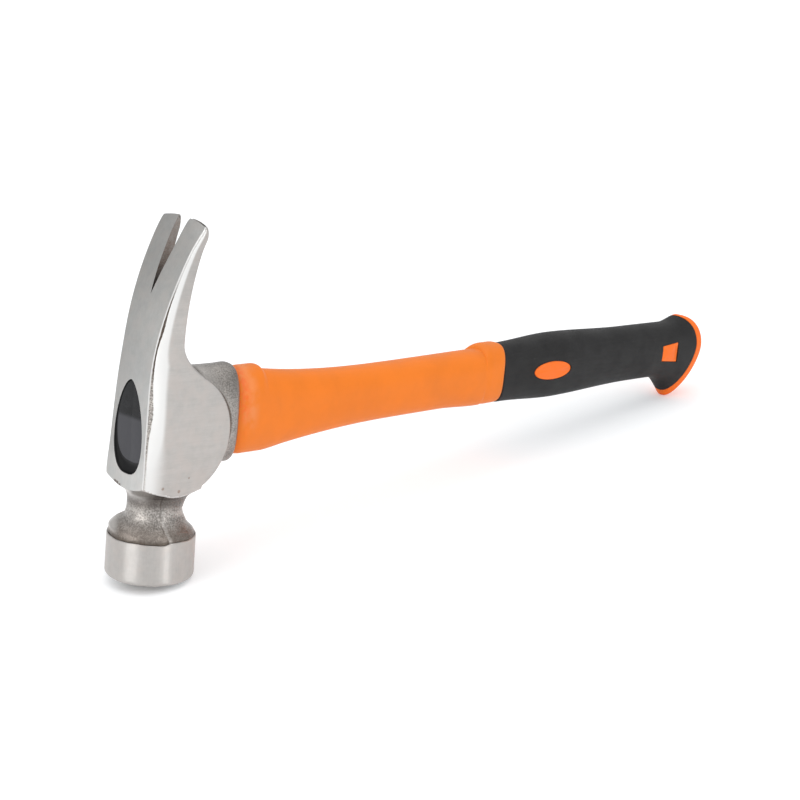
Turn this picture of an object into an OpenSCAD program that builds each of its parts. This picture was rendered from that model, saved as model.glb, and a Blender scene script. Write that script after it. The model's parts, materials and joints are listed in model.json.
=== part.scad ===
// Framing hammer: a forged steel head with a straight rip claw, on a fibreglass handle in a plastic jacket
// with a rubber grip, bonded into the eye with resin.
// Every piece is drawn in the hammer's own axes: Z runs up the head from the striking face, X runs down the
// handle from the head's axis, and y = 0 is the plane of symmetry. rest() then lays the hammer down on its
// striking face and the heel of its butt.

/* [Bell and neck] */
// Diameter of the bell at its lower edge
bell_d = 34; // [30:0.5:38]
// How much narrower the bell is at the top of its side
bell_taper = 0.2; // [0:0.1:2]
// Rounding of the bell's lower edge
face_edge = 2; // [0.8:0.1:3]
// Height of the bell's straight side above the face
bell_h = 16.8; // [13:0.2:19]
// Diameter of the neck at its narrowest
neck_d = 21; // [18:0.5:24]
// Height of the neck's narrowest place above the face
neck_z = 27.5; // [25:0.5:29]
// Distance of the neck's middle behind the head's axis
neck_back = 0.8; // [0:0.1:1.5]
// Height over which the neck flares out under the cheeks
flare_h = 14; // [10:0.5:18]

/* [Cheeks and claw] */
// Height of the head from the face to the claw tips
head_h = 136.5; // [128:0.5:150]
// Height of the underside of the cheeks above the face
cheek_z = 33.5; // [32:0.5:36]
// Width across the cheeks
cheek_w = 25; // [24:0.5:28]
// Distance of the front band from the head's axis at the underside of the cheeks
band_front = 14.5; // [13:0.5:17]
// Lean of the front band, in mm for each mm of height
band_lean = 0.05; // [0:0.01:0.1]
// Reach of the round cheek behind the head's axis
cheek_reach = 25.8; // [20:0.2:28]
// Radius of the round cheek in height
cheek_r = 23.4; // [21:0.2:25]
// Height of the fillet between the round cheek and the claw
root_h = 14.5; // [8:0.5:20]
// Width of the claw at its narrowest
waist_w = 22; // [20:0.5:24]
// Width of the claw at the tips
tip_w = 26.4; // [24:0.2:30]
// Thickness of the claw at the tips
tip_t = 3.8; // [3:0.1:6]
// Gain in the claw's thickness for each mm down from the tips
claw_taper = 0.2; // [0.1:0.01:0.25]
// Backward sweep of the claw tips from the line of the front band
claw_sweep = 16.1; // [8:0.1:22]
// Height at which the claw starts to sweep back
sweep_z = 70; // [60:1:85]
// Width of the nail slot at its mouth
slot_w = 6; // [5:0.1:8]
// Length of the nail slot
slot_len = 27.6; // [20:0.2:34]
// Widening of the nail slot from the front of the claw to its back
slot_flare = 3.4; // [0:0.1:4]

/* [Eye and boss] */
// Height of the handle's axis above the striking face
axis_z = 60; // [58:0.5:62]
// Height of the eye at the front band
eye_h = 35.2; // [32:0.2:38]
// Width of the eye at the front band
eye_w = 17; // [14:0.2:17.6]
// Height of the eye at the back of the boss
eye_back_h = 31; // [28:0.2:32]
// Width of the eye at the back of the boss
eye_back_w = 15.2; // [13:0.2:16]
// Height of the boss
boss_h = 39.6; // [38:0.2:42]
// Width of the boss
boss_w = 23.6; // [22.4:0.2:25]
// Distance of the back of the boss from the head's axis
boss_x = 34; // [31:0.5:40]
// How much shorter the boss is at its sides than at its top
boss_bow = 3; // [0:0.5:5]
// Depth of the resin below the front band at the top of the eye
resin_recess = 0.5; // [0.3:0.1:3]
// Thickness of the resin in front of the tenon
resin_pool = 4; // [2:0.5:8]
// Thickness of the resin round the tenon
resin_bond = 0.9; // [0.5:0.1:1.2]

/* [Handle] */
// Distance of the middle of the butt from the head's axis
reach = 343.7; // [310:0.1:400]
// Rise of the handle's axis from the collar to the grip
axis_rise = 3; // [0:0.5:6]
// Height of the collar behind the boss
collar_h = 35.4; // [34:0.2:36]
// Width of the collar behind the boss
collar_w = 20; // [18.6:0.2:21]
// Rise of the collar's middle above the handle's axis
collar_rise = 0.8; // [0:0.1:1.2]
// Length of the collar
collar_len = 16; // [10:0.5:20]
// Height of the shaft at its waist
shaft_h = 24.2; // [22:0.2:28]
// Width of the shaft at its waist
shaft_w = 18; // [16:0.2:19.6]
// Height of the bulb ring in front of the grip
bulb_h = 28; // [27.6:0.2:32]
// Rise of the bulb ring's middle above the handle's axis
bulb_rise = 0.6; // [0:0.1:1]
// Width of the bulb ring in front of the grip
bulb_w = 20; // [19.6:0.2:23]
// Length of the bulb ring
bulb_len = 12.5; // [9:0.5:20]
// How much farther forward the bulb ring lies at its sides than at its top
bulb_bow = 3; // [0:0.5:4]
// Height of the fibreglass core
core_h = 16; // [12:0.2:18]
// Width of the fibreglass core
core_w = 9; // [7:0.2:10]
// Distance from the end of the core to the middle of the butt
core_end = 26; // [18:1:60]

/* [Grip] */
// Length of the grip from the bulb ring to the middle of the butt
grip_len = 153; // [140:1:175]
// Height of the grip at its front
grip_front_h = 27.2; // [26:0.2:28]
// Width of the grip at its front
grip_front_w = 19.2; // [18.6:0.2:19.6]
// Height of the grip at the palm swell
palm_h = 30.8; // [28:0.2:34]
// Width of the grip at the palm swell
palm_w = 21.6; // [20:0.2:24]
// Height of the grip at its waist
grip_waist_h = 27.6; // [26:0.2:30]
// Width of the grip at its waist
grip_waist_w = 20.8; // [19.6:0.2:23]
// Thickness of the rubber
grip_t = 2.4; // [1.6:0.1:3]
// Rise of the butt's top above the grip's axis
butt_top = 17; // [16:0.2:20]
// Drop of the heel below the grip's axis
heel_drop = 26.2; // [20:0.2:30]
// Width of the butt
butt_w = 22.4; // [21:0.2:25]
// Narrowing of the heel at its tip, as a share of its width
heel_pinch = 0.25; // [0:0.05:0.6]
// Thickness of the butt flange
flange_t = 5; // [3:0.1:7]
// Height of the butt's hindmost line above the grip's axis
butt_peak = 4; // [0:0.5:8]
// Setback of the butt's top from its hindmost line
butt_round = 9; // [4:0.5:11]
// Slope of the butt's lower end from its hindmost line to the heel
heel_slope = 0.65; // [0.3:0.05:0.9]
// Length of the oval window
oval_len = 26; // [20:0.5:32]
// Height of the oval window
oval_h = 8.6; // [6:0.2:12]
// Distance from the bulb ring to the middle of the oval window
oval_x = 31; // [24:0.5:40]
// Length of the tapered window
key_len = 12.6; // [8:0.2:16]
// Height of the tapered window at its wide end
key_h = 10; // [6:0.2:12]
// Distance from the middle of the tapered window to the middle of the butt
key_x = 27.7; // [26:0.1:40]

/* [Fit] */
// Gap between layers that are moulded or poured on one another
bond_gap = 0.15; // [0.1:0.05:0.3]

/* [Hidden] */
sides = 32;
arc_steps = 6;

bell_r = bell_d / 2;
bell_top_r = (bell_d - bell_taper) / 2;
neck_r = neck_d / 2;
face_r = bell_r - face_edge;
collar_x = boss_x + bond_gap;
bulb_x = reach - grip_len;
grip_axis = axis_z + axis_rise;
flange_x = reach - flange_t;
heel_x = bulb_x + 0.74 * grip_len;

// Plain helpers
function mix(a, b, t) = a + (b - a) * t;
function unit(t) = min(1, max(0, t));
function ease(t) = t * t * (3 - 2 * t);
function ramp(x, x0, x1) = ease(unit((x - x0) / (x1 - x0)));
function signed_pow(v, p) = sign(v) * pow(abs(v), p);
function quarter(t) = 1 - sqrt(max(0, 1 - t * t));

// Rings are closed loops of points round the handle's axis: angle 0 is the +Y side and 90 is the top.
function oval_ring(x, mid, w, h, power = 2.4) = [
    for (i = [0:sides - 1])
        let (a = 360 * i / sides)
            [x, w / 2 * signed_pow(cos(a), 2 / power), mid + h / 2 * signed_pow(sin(a), 2 / power)]
];
// A bowed ring keeps its place at the top and bottom of a span and is drawn towards the head between them.
function bowed(ring, bow, mid, span) = [
    for (p = ring)
        [p[0] - bow * (1 - unit(pow(2 * (p[2] - mid) / span, 2))), p[1], p[2]]
];

// The eye is an egg with a blunt lower end: u runs from its bottom to its top.
egg_low = 0.35;
egg_high = 0.6;
egg_u = egg_low / (egg_low + egg_high);
egg_peak = pow(egg_u, egg_low) * pow(1 - egg_u, egg_high);
function egg(u) = pow(u, egg_low) * pow(1 - u, egg_high) / egg_peak;
function egg_ring(x, w, h) = [
    for (i = [0:sides - 1])
        let (a = 360 * i / sides, u = unit((1 + sin(a)) / 2))
            [x, sign(cos(a)) * w / 2 * egg(u), axis_z + h / 2 * sin(a)]
];

function ring_mid(ring) = [for (p = ring) 1] * ring / len(ring);

// Two triangles join each pair of neighbouring points on neighbouring rings.
function wall_faces(rows, n, wrap) = [
    for (i = [0:rows - (wrap ? 1 : 2)], j = [0:n - 1])
        let (a = i * n + j, b = i * n + (j + 1) % n, step = (i == rows - 1 ? -i * n : n))
            each [[a, b + step, b], [a, a + step, b + step]]
];

// A solid skinned over a row of rings, closed at both ends by a fan of triangles.
module skin(rings) {
    n = len(rings[0]);
    rows = len(rings);
    last = (rows - 1) * n;
    hub = rows * n;
    points = concat([for (r = rings) each r], [ring_mid(rings[0]), ring_mid(rings[rows - 1])]);
    ends = [for (j = [0:n - 1]) each [[hub, j, (j + 1) % n], [hub + 1, last + (j + 1) % n, last + j]]];
    polyhedron(points, concat(wall_faces(rows, n, false), ends), convexity = 8);
}

// A sleeve skinned over a row of rings whose last ring joins the first.
module sleeve(rings) {
    n = len(rings[0]);
    polyhedron([for (r = rings) each r], wall_faces(len(rings), n, true), convexity = 8);
}

// Outlines drawn in Y and Z and pushed along X, or drawn in X and Z and pushed along Y.
module along_x(x0, x1) {
    translate([x0, 0, 0]) rotate([90, 0, 90]) linear_extrude(x1 - x0) children();
}
module along_y(y0, y1) {
    translate([0, y1, 0]) rotate([90, 0, 0]) linear_extrude(y1 - y0) children();
}

// Head: the lines of the blade that runs from the cheeks to the claw tips, by height above the face.
function band_x(z) = -band_front + band_lean * (z - cheek_z)
    + claw_sweep * pow(max(0, z - sweep_z) / (head_h - sweep_z), 2.2);
cheek_mid = cheek_z + cheek_r;
cheek_hub = 3;
flare_back = 1.2;
root_share = 0.87;
root_z = cheek_mid + root_share * cheek_r;
function cheek_back(z) = max(flare_back + neck_r + 1.8, cheek_hub
    + (cheek_reach - cheek_hub) * sqrt(max(0, 1 - pow((z - cheek_mid) / cheek_r, 2))));
function claw_back(z) = band_x(z) + tip_t + claw_taper * (head_h - z);
function blade_back(z) = z < root_z
    ? cheek_back(z)
    : claw_back(z) + (cheek_back(root_z) - claw_back(root_z)) * pow(1 - unit((z - root_z) / root_h), 2);
waist_z = axis_z + eye_h / 2 + 12.6;
function side_y(z) = mix(cheek_w, waist_w, ramp(z, axis_z - 4, waist_z)) / 2
    + (tip_w - waist_w) / 2 * pow(unit((z - waist_z) / (head_h - waist_z)), 1.2);
// The front band is narrower than the cheeks, most of all beside the eye.
function band_inset(z) = mix(1.2, 2.1, ramp(z, cheek_z + 6, axis_z)) - 1.5 * ramp(z, axis_z, head_h - 12);

tip_round = 1.6;
tip_slant = 2;
tip_edge = 2.6;
tip_bend = 6;
tip_side = 1.6;
side_round = 9;
back_round = 1.4;

// Half of the blade's section at one height, from the front middle round to the back middle.
function half_section(z) =
    let (
        tip = quarter(unit((z - head_h + tip_round) / tip_round)),
        nose = pow(unit((z - head_h + tip_bend) / tip_bend), 2),
        front = band_x(z) + 0.1 * tip_edge * nose,
        back = blade_back(z) - tip_edge * nose,
        side = side_y(z) - tip_slant * tip - tip_side * nose,
        flat = side - band_inset(z) + 0.6 * tip_side * nose,
        bevel = 0.6 * band_inset(z),
        shoulder = flat + 0.6 * bevel,
        depth = min(side_round, 0.55 * (back - front - bevel)),
        turn = min(back_round, 0.2 * (back - front))
    )
    concat(
        [[front, 0], [front, flat / 2], [front, flat]],
        [
            for (i = [0:arc_steps])
                let (a = 90 * i / arc_steps)
                    [front + bevel + depth * (1 - cos(a)), shoulder + (side - shoulder) * sin(a)]
        ],
        [for (i = [0:3]) let (a = 30 * i) [back - turn + turn * sin(a), side - turn + turn * cos(a)]],
        [[back, 0]]
    );
function blade_ring(z) =
    let (half = half_section(z), m = len(half) - 1)
        [
            for (i = [0:2 * m - 1])
                let (p = half[i <= m ? i : 2 * m - i])
                    [p[0], i <= m ? -p[1] : p[1], z]
        ];
// Below its foot the blade is a wide drum, which leaves the neck and the bell whole.
drum_r = 60;
blade_foot = neck_z + 1.5;
function drum_ring(z) =
    let (n = len(blade_ring(blade_foot)))
        [for (i = [0:n - 1]) let (a = 180 + 360 * i / n) [drum_r * cos(a), drum_r * sin(a), z]];
blade_zs = concat(
    [blade_foot],
    [for (i = [0:16]) mix(cheek_z, root_z - 4, i / 16)],
    [for (i = [1:10]) mix(root_z - 4, root_z + root_h, i / 10)],
    [for (i = [1:14]) mix(root_z + root_h, head_h - tip_round, i / 14)],
    [for (i = [1:5]) head_h - tip_round * (1 - sin(90 * i / 5))]
);
blade_rings = concat(
    [drum_ring(-5), drum_ring(blade_foot - 0.5)],
    [for (z = blade_zs) blade_ring(z)]
);

// Bell, neck and flare: one round body. A domed shoulder curves in from the bell's rim to the neck, which
// flares out again and cuts the underside of the cheeks. The flare is wider towards the handle.
turned_sides = 56;
rim_step = 0.3;
dome_power = 3.4;
flare_power = 6;
flare_r = 9.5;
flare_gain = 6;
flare_top = 0.93;
function turned_ring(z, r, back, gain = 0) = [
    for (i = [0:turned_sides - 1])
        let (a = 360 * i / turned_sides, wide = r + gain * max(0, cos(a)))
            [back + wide * cos(a), wide * sin(a), z]
];
function edge_ring(a) = turned_ring(face_edge * (1 - cos(a)), face_r + face_edge * sin(a), 0);
function dome_ring(t) = turned_ring(mix(bell_h + rim_step / 2, neck_z, t),
    neck_r + (bell_top_r - rim_step - neck_r) * pow(1 - t * t, dome_power), neck_back * ease(t));
function flare(u) = 1 - pow(1 - pow(u, 4), flare_power);
function flare_ring(u) = turned_ring(neck_z + flare_h * u, neck_r + flare_r * flare(u),
    mix(neck_back, flare_back, u), flare_gain * flare(u));
turned_rings = concat(
    [for (i = [0:arc_steps]) edge_ring(90 * i / arc_steps)],
    [turned_ring(bell_h, bell_top_r, 0)],
    [for (i = [0:10]) dome_ring(i / 10)],
    [for (u = [0.2, 0.3, 0.38, 0.44, 0.5, 0.56, 0.62, 0.69, 0.77, flare_top]) flare_ring(u)],
    [turned_ring(neck_z + flare_h * flare_top + 0.1, drum_r, 0), turned_ring(head_h + 5, drum_r, 0)]
);

// Resin: it stands upright in the eye, so that it lies deeper below the leaning band lower down.
resin_x = band_x(axis_z + eye_h / 2) + resin_recess;
tenon_x = resin_x + resin_pool + 2 * bond_gap;

// Eye: it narrows from the front band to the back of the boss. inward shrinks it evenly.
function eye_t(x) = (x + band_front) / (boss_x + band_front);
function eye_w_at(x) = mix(eye_w, eye_back_w, eye_t(x));
function eye_h_at(x) = mix(eye_h, eye_back_h, eye_t(x));
function eye_ring(x, inward) = egg_ring(x, eye_w_at(x) - 2 * inward, eye_h_at(x) - 2 * inward);

// Boss: an oval tube behind the cheeks that rounds over at its back end. Its end face is bowed, and so is
// all that meets it.
boss_rise = 0.6;
boss_mid = axis_z + boss_rise;
boss_round = 3.6;
boss_root = 10;
function boss_end(ring) = bowed(ring, boss_bow, boss_mid, boss_h);
function boss_ring(x, tuck) =
    let (ring = oval_ring(x, boss_mid, boss_w - 2 * tuck, boss_h - 2 * tuck, 2.2))
        bowed(ring, boss_bow * ramp(x, boss_root, boss_x), boss_mid, boss_h);
boss_rings = concat(
    [boss_ring(2, 1.5), boss_ring(8, 0.3), boss_ring(18, 0)],
    [
        for (i = [0:5])
            let (a = 90 * i / 5)
                boss_ring(boss_x - boss_round * (1 - sin(a)), 0.62 * boss_round * (1 - cos(a)))
    ],
    [boss_end(eye_ring(boss_x, resin_bond))]
);

// Nail slot: its sides curve apart from the root to the mouth, and it widens towards the back of the claw.
slot_steps = 12;
function slot_half(u) = slot_w / 2 * (1 - pow(1 - u, 1.6));
function slot_ring(depth, widen) =
    let (
        us = concat([for (i = [0:slot_steps]) i / slot_steps], [1.1]),
        side = [for (u = us) [slot_half(min(u, 1)) + widen * min(1, 4 * u), head_h - slot_len * (1 - u)]],
        m = len(side) - 1
    )
    [
        for (i = [0:2 * m])
            let (p = side[abs(m - i)], z = p[1])
                [mix(band_x(z), claw_back(z), depth), i < m ? -p[0] : p[0], z]
    ];
module nail_slot() {
    skin([slot_ring(-1, 0), slot_ring(0, 0), slot_ring(2, slot_flare)]);
}

module head_solid() {
    difference() {
        union() {
            intersection() {
                skin(blade_rings);
                skin(turned_rings);
            }
            skin(boss_rings);
        }
        skin([eye_ring(-band_front - 6, 0), eye_ring(boss_x + 6, 0)]);
        nail_slot();
    }
}

// The resin is a cup: its floor shows in the front of the eye and its wall fills the gap round the tenon.
module resin_solid() {
    floor_x = tenon_x - bond_gap;
    skin([
        eye_ring(resin_x, bond_gap),
        eye_ring(floor_x, bond_gap),
        eye_ring(10, bond_gap),
        boss_end(eye_ring(boss_x - bond_gap, bond_gap)),
        boss_end(eye_ring(boss_x - bond_gap, resin_bond)),
        eye_ring(10, resin_bond),
        eye_ring(floor_x, resin_bond)
    ]);
}

// Handle: width, height and axis of the jacket and of the grip, by distance from the head's axis.
function axis_at(x) = axis_z + axis_rise * ramp(x, boss_x, heel_x);
collar_step = 1;
shaft_sag = 0.5;
shaft_x = collar_x + collar_len;
bulb_start = bulb_x - bulb_len;
shaft_mid = mix(shaft_x, bulb_start, 0.55);
function waist_fall(x) = pow(1 - unit((x - shaft_x) / (shaft_mid - shaft_x)), 2.2);
shaft_swell = 0.4;
function shaft_law(x, collar, waist) =
    mix(waist, collar - 2 * collar_step, waist_fall(x)) + shaft_swell * ramp(x, shaft_mid, bulb_start);
function shaft_w_at(x) = shaft_law(x, collar_w, shaft_w);
function shaft_h_at(x) = shaft_law(x, collar_h, shaft_h);
function shaft_axis(x) = axis_at(x) - shaft_sag * (1 - ramp(x, shaft_x, shaft_mid));
function collar_ring(x, tuck, drop = 0) =
    boss_end(oval_ring(x, axis_z + collar_rise - drop, collar_w - 2 * tuck, collar_h - 2 * tuck));
function shaft_ring(x) =
    let (ring = oval_ring(x, shaft_axis(x), shaft_w_at(x), shaft_h_at(x)))
        bowed(ring, mix(boss_bow, bulb_bow, (x - shaft_x) / (bulb_start - shaft_x)), shaft_axis(x),
            mix(boss_h, bulb_h, ramp(x, shaft_x, shaft_mid)));
function bulb_end(ring) = bowed(ring, bulb_bow, axis_at(bulb_x), bulb_h);
function bulb_ring(x, swell, tuck) =
    let (
        w = mix(shaft_w_at(bulb_start), bulb_w, swell) - 2 * tuck,
        h = mix(shaft_h_at(bulb_start), bulb_h, swell) - 2 * tuck
    )
    bulb_end(oval_ring(x, axis_at(x) + bulb_rise * swell, w, h));

palm_x = mix(bulb_x, heel_x, 0.35);
waist_x = mix(bulb_x, heel_x, 0.85);
function grip_law(x, front, palm, waist) = x < palm_x
    ? mix(front, palm, ramp(x, bulb_x, palm_x))
    : mix(palm, waist, ramp(x, palm_x, waist_x));
function grip_w_at(x) = grip_law(x, grip_front_w, palm_w, grip_waist_w)
    + (butt_w - grip_waist_w) * ramp(x, heel_x, flange_x);
function grip_h_at(x) = grip_law(x, grip_front_h, palm_h, grip_waist_h);
// Past the heel's start the top and bottom lines spread apart to the butt.
function spread(x, power) = pow(unit((x - heel_x) / (reach - heel_x)), power);
flare_x = mix(heel_x, reach, 0.25);
function grip_top(x) = axis_at(x) + mix(grip_h_at(x) / 2, butt_top, ramp(x, flare_x, reach));
function grip_low(x) = axis_at(x) - mix(grip_h_at(x) / 2, heel_drop, spread(x, 2.6));

// The butt's end is a barrel across the handle, rounded over its top and sloped towards the heel. Rings
// near it bend to that line and narrow towards the heel's tip.
heel_round = 8;
peak_z = grip_axis + butt_peak;
function butt_set(z) = z > peak_z
    ? butt_round * quarter(unit((z - peak_z) / (butt_top - butt_peak)))
    : heel_slope * (sqrt(pow(peak_z - z, 2) + pow(heel_round, 2)) - heel_round);
function butt_bend(ring, amount) = [
    for (p = ring)
        let (low = unit((grip_axis - p[2]) / heel_drop))
            [p[0] - amount * butt_set(p[2]), p[1] * (1 - heel_pinch * amount * low * low), p[2]]
];
function bend_at(x) = ramp(x, heel_x, flange_x);
// Rings near the bulb ring are bowed like it.
function grip_bend(x, ring) =
    butt_bend(bowed(ring, bulb_bow * (1 - ramp(x, bulb_x, palm_x)), axis_at(bulb_x), bulb_h), bend_at(x));
function grip_ring(x, tuck) =
    let (top = grip_top(x), low = grip_low(x))
        grip_bend(x, oval_ring(x, (top + low) / 2, grip_w_at(x) - 2 * tuck, top - low - 2 * tuck));
// The seat under the rubber keeps the grip's section as far as the butt.
function seat_ring(x, gap) =
    let (inset = 2 * (gap - grip_t))
        grip_bend(x, oval_ring(x, axis_at(x), grip_w_at(x) + inset, grip_h_at(x) + inset));
// Shrunk copies of the last ring close the butt.
function butt_ring(share) =
    let (top = grip_top(reach), low = grip_low(reach), w = grip_w_at(reach) - 2 * flange_edge)
        butt_bend(oval_ring(reach, (top + low) / 2, w * share, (top - low - 2 * flange_edge) * share), 1);
flange_edge = 1.4;
function flange_ring(a) = grip_ring(reach - flange_edge * (1 - sin(a)), flange_edge * (1 - cos(a)));

core_x = reach - core_end;
function core_ring(x, gap) = oval_ring(x, axis_z, core_w + 2 * gap, core_h + 2 * gap, 4);

jacket_rings = concat(
    [core_ring(core_x + bond_gap, bond_gap), core_ring(tenon_x, bond_gap)],
    [eye_ring(tenon_x, resin_bond + bond_gap), eye_ring(10, resin_bond + bond_gap)],
    [boss_end(eye_ring(collar_x, resin_bond + bond_gap))],
    [for (t = [0:3]) let (a = 30 * t) collar_ring(collar_x + 2.5 * (1 - cos(a)), 1.6 * (1 - sin(a)))],
    [for (t = [0:4]) let (fall = (1 - cos(45 * t)) / 2)
        collar_ring(shaft_x - 4 + t, collar_step * fall, (collar_rise + shaft_sag) * fall)],
    [for (i = [1:16]) shaft_ring(mix(shaft_x, bulb_start, i / 16))],
    [for (i = [1:4]) let (a = 22.5 * i) bulb_ring(bulb_start + 4 * (1 - cos(a)), sin(a), 0)],
    [for (i = [0:4]) let (a = 22.5 * i) bulb_ring(bulb_x - 3 * (1 - sin(a)), 1, 0.8 * (1 - cos(a)))],
    [for (i = [0:16]) seat_ring(mix(bulb_x, flange_x, i / 16), 0)],
    [for (i = [0:2]) let (a = 45 * i) grip_ring(flange_x + 0.8 * (1 - cos(a)), 0.8 * (1 - sin(a)))],
    [for (i = [0:4]) flange_ring(22.5 * i)],
    [for (i = [3:-1:1]) butt_ring(i / 4)]
);

grip_front = bulb_x + bond_gap;
grip_back = flange_x - 2 * bond_gap;
grip_rings = concat(
    [for (i = [16:-1:0]) seat_ring(mix(grip_front, grip_back, i / 16), bond_gap)],
    [for (i = [0:2]) let (a = 45 * i) grip_ring(grip_front + 0.6 * (1 - cos(a)), 0.6 * (1 - sin(a)))],
    [for (i = [1:24]) grip_ring(mix(grip_front + 0.6, grip_back, i / 24), 0)]
);

// Windows through the rubber, on both sides, and the jacket's pads that fill them.
module oval_outline(gap) {
    x = bulb_x + oval_x;
    polygon([for (i = [0:35]) let (a = 10 * i)
        [x + (oval_len / 2 + gap) * cos(a), axis_at(x) + (oval_h / 2 + gap) * sin(a)]]);
}
module key_outline(gap) {
    x = reach - key_x;
    wide = key_h / 2 + gap;
    narrow = 0.78 * key_h / 2 + gap;
    long = key_len / 2 + gap;
    z = grip_axis;
    polygon([[x - long, z - narrow], [x + long, z - wide], [x + long, z + wide], [x - long, z + narrow]]);
}
module both_sides(inner, outer) {
    along_y(inner, outer) children();
    along_y(-outer, -inner) children();
}
module windows(gap, oval_out, key_out) {
    both_sides(core_w / 2 + 1, oval_out) oval_outline(gap);
    both_sides(core_w / 2 + 1, key_out) key_outline(gap);
}
pad_drop = 0.2;

// Rest: the hammer tips until the heel meets the plane that the bell's edge stands on.
rest_points = [for (i = [0:6]) each jacket_rings[len(jacket_rings) - 4 - i]];
pitch = min([for (p = rest_points) atan2(p[2], p[0] - face_r)]);
lift = face_r * sin(pitch);
far_x = max([for (r = jacket_rings) for (p = r) p[0] * cos(pitch) + p[2] * sin(pitch)]);
near_x = -bell_r * cos(pitch) + face_edge * sin(pitch);
module rest() {
    translate([-(far_x + near_x) / 2, 0, lift]) rotate([0, pitch, 0]) children();
}

module hammer_head() {
    color("silver") rest() head_solid();
}
module eye_epoxy() {
    color("dimgray") rest() resin_solid();
}
module fibreglass_core() {
    color("wheat") rest() along_x(tenon_x, core_x) polygon([for (p = core_ring(0, 0)) [p[1], p[2]]]);
}
module handle_jacket() {
    color("darkorange") rest() union() {
        skin(jacket_rings);
        windows(0, palm_w / 2 - pad_drop, grip_w_at(reach - key_x) / 2 - pad_drop);
    }
}
module grip_sleeve() {
    color("#333333") rest() difference() {
        sleeve(grip_rings);
        windows(bond_gap, palm_w, palm_w);
    }
}

hammer_head();
eye_epoxy();
fibreglass_core();
handle_jacket();
grip_sleeve();
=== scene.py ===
"""Framing hammer: the looks of the forged head, the resin, the handle and the grip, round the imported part."""

import json
import math
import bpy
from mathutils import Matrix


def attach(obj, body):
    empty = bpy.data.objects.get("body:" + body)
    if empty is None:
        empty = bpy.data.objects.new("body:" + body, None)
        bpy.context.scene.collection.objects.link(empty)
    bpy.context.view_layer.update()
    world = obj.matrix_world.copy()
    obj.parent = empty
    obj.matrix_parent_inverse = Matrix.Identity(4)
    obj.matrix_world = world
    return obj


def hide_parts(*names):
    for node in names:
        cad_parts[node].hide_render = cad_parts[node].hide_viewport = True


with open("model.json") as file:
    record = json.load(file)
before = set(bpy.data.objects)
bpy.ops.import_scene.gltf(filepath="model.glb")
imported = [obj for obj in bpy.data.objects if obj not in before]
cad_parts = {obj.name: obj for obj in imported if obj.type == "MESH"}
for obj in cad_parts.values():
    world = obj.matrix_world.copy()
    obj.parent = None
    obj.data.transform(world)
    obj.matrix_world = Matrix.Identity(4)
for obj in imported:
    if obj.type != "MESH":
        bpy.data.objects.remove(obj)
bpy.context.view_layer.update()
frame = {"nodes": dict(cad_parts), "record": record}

from types import SimpleNamespace

import bpy
import numpy as np
from mathutils import Matrix

bl_info = {
    "name": "Framing hammer",
    "version": (1, 0, 0),
    "blender": (4, 5, 0),
    "location": "View3D > Sidebar > Hammer",
    "description": "Builds the surfaces and finishes of a framing hammer round its packed solids",
    "category": "Object",
}

MM = 0.001
FACE = next(mount for mount in frame["record"]["mounts"] if mount["name"] == "striking_face")

# Fixed values, lengths in millimetres

FAR = 60.0  # past every part of the head
FLARE_BACK = 1.2  # offset of the neck's flare behind the head's axis
FLARE_SHARE = 0.93  # share of the flare's height that is laid out
TIP_ROUND = 1.6  # rounding of the claw tips
NOSE = 6.0  # height over which the claw tips are ground thinner
FRONT_POINTS = 15  # points from the band's middle to its edge
CHEEK_FRONT = 3.0  # place behind the head's axis where the cheek's ellipse starts
SLOT_STRAIGHT = 0.93  # share of the slot's length below the rounded tips
MOUTH_ROWS = 3  # rows of the eye's tool that are ground like the band
BLADE_STEEL, FORGED, SLOT_WALLS, EYE_WALLS, BELL_STEEL = range(5)  # the head's materials in order
BOSS_ROUND = 3.6  # rounding of the boss's back edge
COLLAR_ROUND = 5.0  # rounding of the collar's front edge
STEP = 4.0  # length of the collar's step and of the bulb ring's front
BULB_EDGE = 3.0  # rounding of the bulb ring's back edge
FLANGE_LIP = 0.8  # rounding of the flange beside the rubber
SLEEVE_LIP = 0.6  # rounding of the rubber beside the bulb ring
BULB_EARLY = 0.7  # share of the bulb ring's swell that the shaft's sides have where the ring starts
TENON_FRONT = 10.0  # place behind the head's axis where the eye's skins turn straight
OVAL = 2.4  # power of the handle's superellipse
HUB_DIGITS = 9  # decimals to which the hubs of closed ends are rounded
EYE_SIDES, HANDLE_SIDES = 160, 128
BELL_TOP = (19, 22)  # heights between which the bell's finish gives way to the cheeks'
PITS = (((-5.4, -12.5, 37.7), 0.75), ((2.2, -12.5, 35.6), 0.85), ((6.6, -12.5, 40.3), 0.5))
CHIPS = (((-14.3, 5.2, 37.5), 0.9), ((-14.3, 3.8, 37.0), 1.1), ((-14.3, 2.4, 36.6), 0.9))


# Sizes and colours

def length(name, description, size):
    """A length property, given in millimetres."""
    return bpy.props.FloatProperty(
        name=name, description=description, default=size * MM, unit="LENGTH", subtype="DISTANCE", precision=5)


def share(name, description, size):
    """A plain number property."""
    return bpy.props.FloatProperty(name=name, description=description, default=size, precision=4)


def colour(name, description, rgb):
    """A colour property."""
    return bpy.props.FloatVectorProperty(
        name=name, description=description, default=rgb, subtype="COLOR", size=3, min=0, max=1)


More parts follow.
